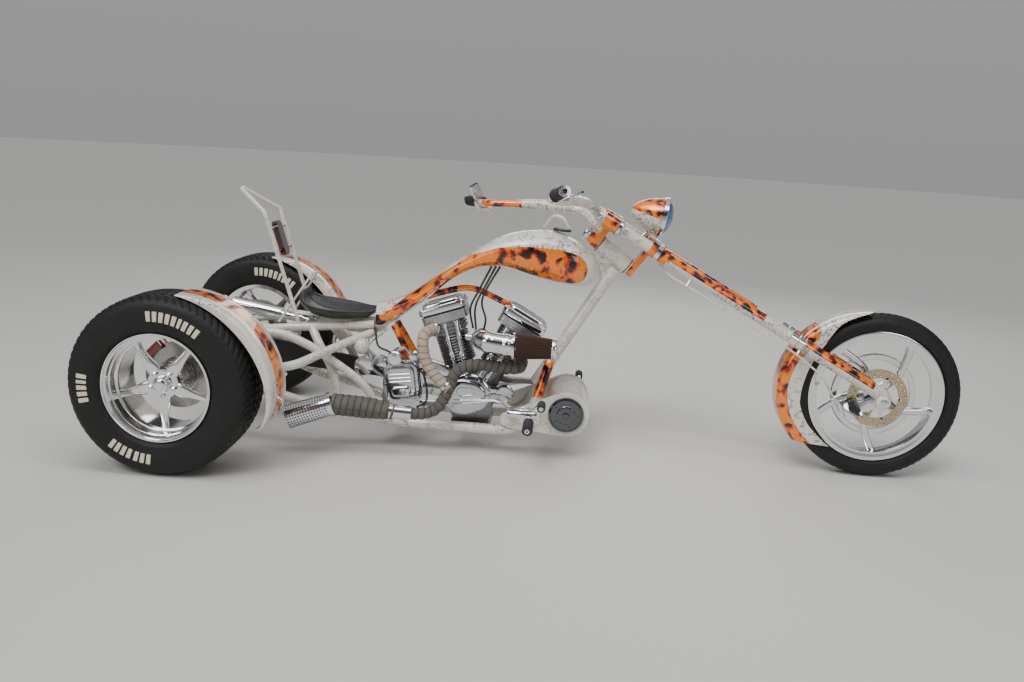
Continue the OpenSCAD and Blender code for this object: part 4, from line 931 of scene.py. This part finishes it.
piece("hose_clips", clips, chrome, "fork")
piece("front_brake_hose", rod(bent(on_fork(hose_line), 60), 4.2, 6, 16), cream_paint, "fork",
    ["brake_hose"])
dress(["triple_trees"], orange_paint)
dress(["front_axle", "front_caliper"], chrome, bevel=1.5)

# The bars: two thick cream tubes that rise from the top tree and sweep back to the grips, the
# left one candy along its outer run, with a chrome lever on each.
tilt = math.radians(15)
bar_axis = np.array([-math.sin(tilt), 0, math.cos(tilt)])
bar_at = on_stem([-150, 0, 30])
bar_turn = math.radians(27)


def spun(p):
    """A row turned about the bars' axis: v cos + (axis x v) sin + axis (axis.v)(1 - cos)."""
    v = np.array(p, float)
    return (bar_at + v * math.cos(bar_turn) + np.cross(bar_axis, v) * math.sin(bar_turn)
        + np.outer(v @ bar_axis, bar_axis).reshape(v.shape) * (1 - math.cos(bar_turn)))


grip_from = np.array([-345, 372, 92.0])
grip_dir = unit([-22, 130, 12])
for side, sign, bar_foot in (("right", -1, [-107, -52, 66]), ("left", 1, [-107, 52, 42])):
    mirror = np.array([1, sign, 1])
    frame_points = np.array([[-12, 56, 72], [-130, 190, 90], grip_from - 56 * grip_dir, grip_from]) * mirror
    path = bent(np.vstack([on_stem(bar_foot), spun(frame_points)]), 62)
    line, at = even(path, 5)
    taper = 21 - 6.5 * np.clip((at / at[-1] - 0.62) / 0.1, 0, 1) * (sign > 0)
    points, faces = part(tube(line, taper, 32))
    share = np.repeat(at / at[-1], 32)
    stripe = panel(np.minimum(share - 0.66, 0.97 - share) * 400) if sign > 0 else 0 * share
    piece(side + "_bar", (points, faces), body_paint, "fork", ["handlebar"]
        if sign > 0 else (), stripe)
dress(["right_grip", "left_grip"], chrome)


def ribbed(radius, depth, beat, low, high, rows):
    """A profile with square ribs: radius + depth times the sign of sin(beat h)."""
    h = np.linspace(low, high, rows)
    return np.c_[radius + depth * np.sign(np.sin(h * beat)), h]


for side, sign in sides:
    base = spun(grip_from * np.array([1, sign, 1]))
    tip = spun((grip_from + 132 * grip_dir) * np.array([1, sign, 1]))
    sleeve = np.vstack([[[21.2, 28]], ribbed(21.6, 0.9, 1.1, 30, 122, 120), [[21.2, 124]]])
    piece(side + "_grip_sleeve", lathe(sleeve, base, tip - base, 44), black_rubber, "fork",
        sharp=50)

# The headlight: a spun steel bowl, candy above and cream below, with a chrome ring and a blue-tinted lens.
lens_at = on_stem([52, 0, 245])
beam = np.array([math.cos(math.radians(10)), 0, -math.sin(math.radians(10))])
bowl = flow([[5, -129.5], [14, -128], [34, -114], [54, -86], [68, -52], [76, -18], [80, -8]], 60)
points, faces = lathe(bowl, lens_at, beam, 88)
above = (points - lens_at) @ np.array([-beam[2], 0, beam[0]]) + 0.12 * ((points - lens_at) @ beam)
piece("headlight_bowl", (points, faces), body_paint, "fork", ["headlight"],
    panel(above * 0.9 + 6))
ring = [(78, -9), (83, -6), (84.5, 2), (83.5, 10), (80, 13), (76, 12), (75, 4)]
piece("headlight_ring", lathe(ring, lens_at, beam, 88, closed=True), chrome, "fork")
glass, tree, shader = coating("blue_lens", Base_Color=(0.10, 0.22, 0.42, 1), Metallic=0.55, Coat_Weight=1.0,
    Coat_Roughness=0.02)
place = marked(tree, shader, 0.08, 0.1)
flutes = put(tree, "TexWave", ("Vector", place), ("Scale", 28.0), bands_direction="Y")
bumped(tree, shader, flutes.outputs["Fac"], 0.0012)
dome = [(75.5, 8), (70, 18), (58, 29), (42, 37), (22, 42), (4, 43.5)]
piece("headlight_lens", lathe(flow(dome, 30), lens_at, beam, 88), glass, "fork")
stalk = rod([on_stem([40, 0, 116]), lens_at + [-30, 0, -50]], 13, 6, 28)
cross_bar = rod(on_stem([[40, -74, 116], [40, 74, 116]]), 11, 8, 28)
piece("headlight_post", [stalk, cross_bar], chrome, "fork")
dress(["tail_lamp"], lamp_red)
dress(["rear_shock"], chrome)

# Small fork fittings: the lobes that bolt the fender to the legs, the thin bearing rings on the
# neck, a boss on each clamp, and a cream cover over each end of the axle.
lobes = []
for sign in (-1, 1):
    for h in (-330, -262):
        lobes.append(lathe([(6, 0), (12, 1), (12, 7), (9, 9)], on_fork([h, sign * 71, -6]), (0, sign, 0), 28))
    arm = on_fork([[-392, sign * 70, -16], [-330, sign * 71, -4], [-250, sign * 71, -2],
        [-190, sign * 69, -22]])
    lobes.append(rod(bent(arm, 40), 9, 5, 20))
piece("fender_lobes", lobes, cream_paint, "fork")
neck_rings = [lathe([(37, x), (38.4, x + 1), (38.4, x + 3), (37, x + 4)], neck, stem_down, 64, closed=True)
    for x in (-78, 70)]
piece("neck_bearing_rings", neck_rings, black_paint, "chassis")
boss = [lathe([(13, 30), (13, 38), (11, 40), (8, 40), (7, 36)], on_fork([-fork_len + 118, sign * 100, 0]),
    (0, sign, 0), 36)
    for sign in (-1, 1)]
piece("clamp_bosses", boss, chrome, "fork")
bosses = [lathe([(27.6, 0), (29, 1), (29, 7), (24, 11), (10, 13)], front_middle + [0, sign * 132, 0],
    (0, sign, 0), 48) for sign in (-1, 1)]
piece("axle_covers", bosses, cream_paint, "fork")

# The engine: a V-twin. Iron-grey finned barrels, cast heads, and rocker boxes in two layers with a
# dark gasket gap, a bright cover and a raised cap; chrome push-rod tubes stand on the right.
fin_grey = metal("fin_grey", (0.24, 0.24, 0.25), 0.28, 0.3, (300.0, 0.0004), 0.7)


def rounded(w, d, r, steps=8):
    """A rectangle's outline with corner arcs of radius r, anticlockwise from +X."""
    a = np.linspace(0, np.pi / 2, steps)
    arcs = [(np.cos(a + k * np.pi / 2) * r + sx * (w / 2 - r),
        np.sin(a + k * np.pi / 2) * r + sy * (d / 2 - r))
        for k, (sx, sy) in enumerate(((1, 1), (-1, 1), (-1, -1), (1, -1)))]
    return np.stack([np.concatenate([x for x, _ in arcs]), np.concatenate([y for _, y in arcs])], axis=1)


def capsule(a, b, ra, rb, steps=22):
    """The outline round two circles."""
    a, b = np.array(a, float), np.array(b, float)
    d = b - a
    lean, heading = np.arccos((ra - rb) / np.linalg.norm(d)), np.arctan2(d[1], d[0])
    far = heading + lean + (2 * np.pi - 2 * lean) * np.linspace(0, 1, steps)
    close = heading - lean + 2 * lean * np.linspace(0, 1, steps)
    return np.vstack([a + ra * np.c_[np.cos(far), np.sin(far)], b + rb * np.c_[np.cos(close), np.sin(close)]])


def layered(outline, levels, origin, axes):
    """Rings of one outline at (height, grow): each is outline + grow along its own normal."""
    step = np.roll(outline, -1, 0) - np.roll(outline, 1, 0)
    normal = np.c_[step[:, 1], -step[:, 0]] / np.linalg.norm(step, axis=1)[:, None]
    middle = outline.mean(0)
    if np.sum(normal * (outline - middle)) < 0:
        normal = -normal
    x, y, z = [np.array(v, float) for v in axes]
    rings = [np.array(origin, float) + (outline[:, :1] + g * normal[:, :1]) * x
        + (outline[:, 1:] + g * normal[:, 1:]) * y + h * z
        for h, g in levels]
    return part(np.stack(rings))


def bolts(places, direction, r, h, sides=6):
    """Hexagon heads with a chamfer."""
    return [lathe([(r, 0), (r, h * 0.75), (r * 0.8, h)], p, direction, sides) for p in places]


rocker, lean, half_vee = 373.6, 4.5, 24
right_axes = ((1, 0, 0), (0, 0, 1), (0, -1, 0))
for label, sign in (("rear", -1), ("front", 1)):
    k = math.radians(lean + sign * half_vee)
    x, z = np.array([math.cos(k), 0, -math.sin(k)]), np.array([math.sin(k), 0, math.cos(k)])
    axes = (x, np.array([0, 1, 0]), z)
    fins = [(57, 181.5)]
    for f in range(11):
        h = 186 + f * 12
        fins += [(58, h), (71, h + 0.4), (72, h + 1.6), (72, h + 3.2), (71, h + 4.4), (58, h + 5)]
    barrel = lathe(fins + [(57, 321)], engine, z, 72)
    head_levels = [(321.5, 0)]
    for f in range(3):
        h = 326 + f * 16
        head_levels += [(h, 0), (h + 0.5, 9), (h + 5.5, 9), (h + 6, 0)]
    head = layered(rounded(128, 132, 20), head_levels + [(373, 0)], engine, axes)
    piece(label + "_barrel_and_head", [barrel, head], fin_grey, "chassis",
        [label + "_cylinder"], sharp=40)
    base = engine + z * rocker
    lower = layered(rounded(196, 142, 22), [(0, -2), (1.5, 0), (10, 0), (11, -2.5), (14, -2.5), (15, 0),
        (24, 0), (25, -2.5), (28, -2.5), (29, 0), (37, 0), (38.5, -2)], base, axes)
    piece(label + "_rocker_base", lower, cast, replaces=[label + "_rocker_box"])
    gap = layered(rounded(196, 142, 22), [(38, -9), (47, -9)], base, axes)
    piece(label + "_rocker_gasket", gap, black_rubber, "chassis")
    cover = layered(rounded(206, 150, 26), [(46, -3), (46.5, -0.5), (48, 0), (66, 0), (70, -1.5), (73, -6),
        (74.5, -16)], base, axes)
    lid = layered(rounded(170, 118, 30), [(73, 2), (84, 0), (87.5, -2), (89, -6), (89, -13), (87, -14),
        (86, -15), (86, -30)], base, axes)
    corners = [base + x * sx * 88 + np.array([0, sy * 60, 0]) + z * 71 for sx in (-1, 1) for sy in (-1, 1)]
    piece(label + "_rocker_cover", [cover, lid] + bolts(corners, z, 7, 8), chrome)
    for j, off in enumerate((-26, 26)):
        low_end = engine + [off * 0.7 + sign * 38, -100, 118]
        high_end = base + x * (off + sign * -18) + np.array([0, -66, 0]) - z * 6
        run = even(np.array([low_end, high_end]), 6)[0]
        span = np.linspace(0, 1, len(run))
        thick = 9 + 3.5 * (np.abs(span - 0.42) < 0.05) + 3 * (span < 0.04) + 3 * (span > 0.95)
        piece(f"{label}_push_rod_{j}", part(tube(run, thick, 24)), chrome, sharp=50)
dress(["crankcase"], fin_grey, bevel=2.5)

# The covers on the right of the engine and gearbox: chromed castings with stepped edges and raised
# bars, held by cap screws, and plain where a badge would sit.
worn_chrome = metal("worn_chrome", (0.60, 0.61, 0.64), 0.06, 0.16, soot=0.7)
cam_at = engine + [-13, 0, 55]
outline = capsule((-18, 0), (22, 6), 88, 78)
cam = [layered(outline, [(84.3, 0), (116, 0), (122, -2), (126, -8), (128, -16), (128.4, -19), (131, -20),
    (143, -22), (146, -27), (146.4, -40)], cam_at, right_axes)]
cam += [layered(capsule((-22, 18), (18, 22), 22, 20), [(145.8, 0), (148.4, -0.6), (149, -2), (148.6, -6),
    (147.2, -8)], cam_at, right_axes)]
cam += [layered(capsule((-52, -18 - 16 * k), (44, -14 - 16 * k), 3.4, 3.2),
    [(145.5, 0), (148.5, -0.6), (149.4, -2)], cam_at, right_axes)
    for k in range(2)]
cam += [layered(capsule((60, 4), (158, 14), 34, 20), [(84.3, 0), (108, 0), (111, -2), (112, -5)], cam_at,
    right_axes)]
cam += [lathe([(37, 90), (37, 116), (35, 120), (31, 121), (30, 118.6), (12, 118.6), (6, 119)],
    cam_at + [158, 0, 14], (0, -1, 0), 56)]
turn = np.radians(np.arange(0, 360, 40) + 15)
cam += bolts([cam_at + [81 * math.cos(k) + 2, -121, 79 * math.sin(k) + 3] for k in turn], (0, -1, 0), 5, 7)
piece("cam_side_cover", cam, worn_chrome, replaces=["cam_cover"])
tip = math.radians(8)
box_axes = ((math.cos(tip), 0, math.sin(tip)), (-math.sin(tip), 0, math.cos(tip)), (0, -1, 0))
case = [layered(rounded(170, 227, 14), [(-84, 0), (84, 0)], gearbox + [0, 0, -30], right_axes)]
case += [layered(rounded(150, 178, 38), [(83, 4), (92, 4), (94, 0), (112, 0), (117, -3), (118.5, -9)],
    gearbox, box_axes)]
case += [layered(rounded(122, 150, 30), [(118, 0), (129, 0), (133, -2.5), (134.5, -9)], gearbox, box_axes)]
case += [layered(rounded(96, 8, 3.6), [(133.5, 0), (138, -0.5), (139, -2)],
    gearbox + np.array(box_axes[1]) * h, box_axes)
    for h in (10, 26, 42)]
case += [layered(rounded(84, 46, 18), [(133.5, 0), (140, -1), (143, -5), (144, -10)],
    gearbox + np.array(box_axes[1]) * -32, box_axes)]
case += bolts([gearbox + np.array(box_axes[0]) * sx + np.array(box_axes[1]) * sz + np.array([0, -117, 0])
    for sx, sz in ((-62, 66), (62, 66), (-62, -66), (62, -66), (-67, 0), (67, 0))], (0, -1, 0), 5, 7)
piece("gearbox_cover", case, worn_chrome, replaces=["transmission"])
dress(["primary_case"], chrome, bevel=2.5)
dress(["final_drive"], black_paint)

# The intake: a chrome elbow on the right, held by clamps, and a pleated paper cone between chrome rings.
throat = np.array([engine[0] + 30, -40, 492])
filter_at = engine + [172, -200, 300]
elbow = even(bent([throat + [0, -4, 0], throat + [0, -160, 12], filter_at + [2, 0, 0]], 90), 5)[0]
share = np.linspace(0, 1, len(elbow))
swell = 27 + 17 * np.clip((share - 0.15) / 0.45, 0, 1) ** 0.7
for clamp_at in (0.62, 0.9):
    swell = swell + 3 * (np.abs(share - clamp_at) < 0.03)
manifold = [rod([throat + [-70, 0, -14], throat + [80, 0, -14]], 17, 8, 32)]
manifold += [lathe([(28, 0), (34, 2), (34, 12), (28, 14)], throat + [0, -18, 0], (0, -1, 0), 48)]
flanges = [lathe([(20, 0), (50, 0), (57, 2), (57, 10), (52, 14), (20, 14)], filter_at + [-2, 0, 0], (1, 0, 0),
    64, closed=True), lathe([(40, 0), (44, 1), (46, 4), (46, 16), (43, 20), (38, 21), (36, 17), (8, 16)],
    filter_at + [158, 0, 0], (1, 0, 0), 64)]
ring_bolts = bolts([filter_at + [11, 48 * math.cos(k), 48 * math.sin(k)]
    for k in np.radians(np.arange(0, 360, 60))], (1, 0, 0), 5, 6)
piece("intake_elbow", [part(tube(elbow, swell, 48))] + manifold + flanges + ring_bolts, chrome,
    replaces=["air_intake"], sharp=40)
a = np.linspace(0, 2 * np.pi, 384, endpoint=False)[None]
h = np.linspace(12, 160, 14)[:, None]
cone = (54 - 13 * (h - 12) / 148) * (1 - 0.10 * np.abs(np.sin(24 * a)))
grid = np.stack([filter_at[0] + h + 0 * a, filter_at[1] + cone * np.cos(a), filter_at[2] + cone * np.sin(a)],
    axis=-1)
piece("pleated_cone", part(grid), paper, sharp=70)

# The muffler's tip: a chromed tube with rows of round holes, painted on as dark spots of shade, rolled at its
# mouth.
def pierced():
    """Chrome with round holes on a grid of the piece's own UV map: painted shade, dark and not metallic,
    where the distance is small.
    """
    made, tree, shader = coating("pierced_chrome")
    marked(tree, shader, 0.06, 0.1)
    own = put(tree, "UVMap", uv_map="wound")
    cells = put(tree, "Mapping", ("Vector", own.outputs["UV"]), ("Scale", (26.0, 26.0, 1.0)))
    dots = put(tree, "TexVoronoi", ("Vector", cells.outputs["Vector"]), ("Scale", 1.0), ("Randomness", 0.0),
        voronoi_dimensions="2D")
    # Painted shade: each hole is a dark, non-metallic spot on the chrome, not a cut.
    hole = between(tree, dots.outputs["Distance"], 0.27, 0.33)
    tint = blend(tree, hole, (0.015, 0.014, 0.013, 1), (0.8, 0.81, 0.83, 1))
    coloured(tree, shader, tint)
    tree.links.new(hole, shader.inputs["Metallic"])
    bumped(tree, shader, hole, 0.002)
    return made


t = np.linspace(0, 1, 60)
outer = np.c_[46 + 4 * t, 184 * t]
mouth = np.array([[52, 184], [52, 186], [50, 187.5], [47, 187], [45, 184]])
inner = np.c_[44 - 2 * t, 182 - 150 * t]
profile = np.vstack([outer, mouth, inner])
grid = turned(profile, tip_start, tip_dir, 72)
made = piece("perforated_tip", part(grid), pierced(), replaces=["muffler_tip"], sharp=60)
run = np.r_[0, np.cumsum(np.linalg.norm(np.diff(profile, axis=0), axis=1))] / 290
turn = np.linspace(0, 1, 72, endpoint=False)
lay_map(made, np.stack([np.tile(turn, len(profile)), np.repeat(run, 72)], axis=1))
clamps = [lathe([(47, -6), (50, -4), (50, 12), (47, 14)], tip_start, tip_dir, 64),
    lathe([(27, -44), (28.5, -42), (29.5, 20), (34, 46), (32, 48)], can_run[0], can_run[3] - can_run[0], 56)]
for end, onward, gap in ((rear_run[-1], rear_run[-1] - rear_run[-2], -26),
        (rear_run[0], rear_run[1] - rear_run[0], 3), (front_run[0], front_run[1] - front_run[0], 3)):
    clamps.append(lathe([(27.5, 0), (29.5, 1.5), (29.5, 10), (27.5, 11.5)], end + gap * unit(onward), onward))
piece("exhaust_clamps", clamps, chrome)

# The cradle: two plates across the lower rails, and candy tubes that arch over the engine and brace
# the gearbox.
arch_run = bent([[engine[0] - 245, 0, 626], [engine[0] - 150, 0, 660], [engine[0] - 30, 0, 694],
    [engine[0] + 150, 0, 618]], 60)
arch_parts = [rod(arch_run, 14, 7, 28)]
arch_parts += [rod([[gearbox[0] - 55, s * 40, 510], [gearbox[0] + 40, s * 62, 345.0]], 14, 7, 28)
    for s in (-1, 1)]
plates = [layered(rounded(w, 256, 8), [(0, -2), (2, 0), (8, 0), (10, -2)], [x, 0, z],
    ((1, 0, 0), (0, 1, 0), (0, 0, 1))) for x, z, w in ((engine[0], 88, 170), (gearbox[0], 100, 160))]
piece("candy_tubes", arch_parts, orange_paint, "chassis", ["cradle_plates"])
piece("engine_plates", plates, cream_paint, "chassis")

# The front drum and foot controls: a cream drum between plates with polished dark covers, and chrome
# pegs and pedals with black rubber pads on each side, worked by long rods.
drum_at = np.array([neck[0] - 151, 0, 205])
dress(["oil_drum"], cream_paint)
smoked = metal("smoked_chrome", (0.13, 0.135, 0.145), 0.05, 0.12, soot=0.3)
for side, sign in sides:
    lid = [(73, 160.4), (75, 164), (74.5, 171), (72, 175), (66, 176.5), (64, 174), (40, 174.6), (37, 177.4),
        (33, 178), (14, 178.2), (12, 181), (9, 182)]
    parts = [lathe(lid, drum_at, (0, sign, 0), 88)]
    parts += bolts(circle_of(drum_at + [0, sign * 173.6, 0], 52, np.arange(5) * 72), (0, sign, 0), 4, 4)
    piece(side + "_drum_cover", parts, smoked)
dress(["right_forward_control", "left_forward_control", "horn"], chrome, bevel=1.5)
for side, sign, x, y in (("right", -1, -140, 160.6), ("left", 1, 12, 172.6)):
    base = drum_at + [x, 0, 0]
    peg = np.vstack([[[17, 108]], ribbed(20.5, 1.2, 0.9, 108, 216, 90), [[17, 216]]])
    pads = [lathe(peg, base + [-10, sign * y, -14], (0, sign, 0), 32)]
    pads += [lathe(ribbed(16.2, 0.9, 0.9, 82, 146, 60), base + [38, sign * y, 60], (0, sign, 0), 28)]
    piece(side + "_pedal_rubbers", pads, black_rubber, "chassis", sharp=50)
    fittings = [lathe([(12, 0), (14, 2), (14, 10), (12, 12)], base + [q, sign * (y + 30), -4], (1, 0, 0), 28)
        for q in (-60, -20)]
    fittings += [lathe([(17.6, 0), (19.5, 2), (19.5, 9), (15, 12)], base + [-104, sign * (y + 30), -4],
        (1, 0, 0), 32)]
    fittings += bolts([base + [q, sign * (y + 15.5), w] for q, w in ((-34, -34), (16, -34), (16, 8))],
        (0, sign, 0), 7, 5)
    rods = [rod(bent([base + [-96, sign * (y + 22), 14], base + [-150, sign * (y + 8), 42], p], 30), 4.5, 6,
        16) for p in ([gearbox[0] + 92, sign * 118, gearbox[2] - 70],
        [gearbox[0] + 96, sign * 122, gearbox[2] - 98])]
    piece(side + "_control_linkage", fittings + rods, chrome)

# Loose runs: control cables, braided hoses, the breather hose over the tank, thin brace rods behind
# the seat, and the cup on the steering stem.
braid = metal("braided_steel", (0.45, 0.45, 0.46), 0.3, 0.2, (900.0, 0.0006), 0.3)
from_engine = np.array([[[-10, -42, 330], [-22, -70, 420], [10, -60, 500], [66, -40, 622]],
    [[5, -50, 318], [0, -84, 430], [36, -66, 520], [84, -40, 622]],
    [[30, -60, 300], [46, -92, 380], [28, -84, 470], [102, -44, 622]]])
from_gearbox = np.array([[[-30, -60, 84], [-60, -104, 130], [-110, -90, 150], [-130, -60, 220]],
    [[60, -84, 60], [96, -120, 40], [112, -124, -60], [70, -120, -100]]])
cables = [*(engine + from_engine), *(gearbox + from_gearbox)]
piece("control_cables", [rod(flow(c, 40), 4.5, 6, 14) for c in cables], black_rubber, "chassis")
hoses = gearbox + np.array([[[-60, -70, 84], [-100, -110, 110], [-128, -112, 60], [-86, -100, 20]],
    [[-20, -70, 84], [-30, -112, 128], [10, -110, 150], [40, -80, 100]],
    [[-84, -60, 40], [-126, -96, 84], [-150, -92, 150], [-100, -50, 200]]])
unions = [lathe([(8, 0), (8, 10), (11, 11), (11, 18), (8, 20)], c[0], c[1] - c[0], 6)
    for c in hoses]
piece("braided_hoses", [rod(flow(c, 40), 6.5, 5, 16) for c in hoses] + unions, braid)
starter = [lathe([(10, -150), (26, -148), (30, -144), (30, -60), (24, -56)], gearbox + [-28, 0, 112],
    (0, 1, 0), 48), lathe([(8, -132), (18, -130), (20, -126), (20, -60)], gearbox + [-84, 0, 78], (0, 1, 0),
    40), lathe([(6, -122), (15, -120), (17, -116), (17, -70)], gearbox + [46, 0, 118], (0, 1, 0), 40)]
starter += bolts(circle_of(gearbox + [-28, -147, 112], 18, (30, 150, 270)), (0, -1, 0), 4, 4)
piece("starter_and_filters", starter, chrome)
ball = np.linspace(0.06, np.pi - 0.06, 24)
knob = turned(np.c_[34 * np.sin(ball), -34 * np.cos(ball)], [joint_x - 26, -104, 420], (0, 1, 0.2), 40)
knob_stem = tube(even(np.array([[joint_x - 26, -96, 424], [joint_x - 20, -46, 470.0]]), 6)[0], 8, 18)
piece("plain_ball", [part(knob), part(knob_stem)], cream_paint, "chassis")
loop = flow([[neck[0] - 196, -30, 968], [neck[0] - 222, -40, 1006], [neck[0] - 262, -22, 1010],
    [neck[0] - 300, 20, 960]], 40)
piece("breather_hose", rod(loop, 7, 5, 18), cream_paint, "chassis")
hoop_x = joint_x - 262.5
braces = [rod([[hoop_x, sign * 40, 702], [hoop_x - 123, sign * 100, 498]], 5, 8, 16) for sign in (-1, 1)]
braces += [rod([[hoop_x, -41, 702], [hoop_x, 41, 702]], 5, 8, 16)]
piece("seat_back_braces", braces, cream_paint, "chassis")
cup = [(30, -136), (31, -140), (31, -152), (28, -156), (14, -157), (11, -160)]
piece("stem_cup", lathe(cup, neck, stem_down, 48), chrome, "fork")
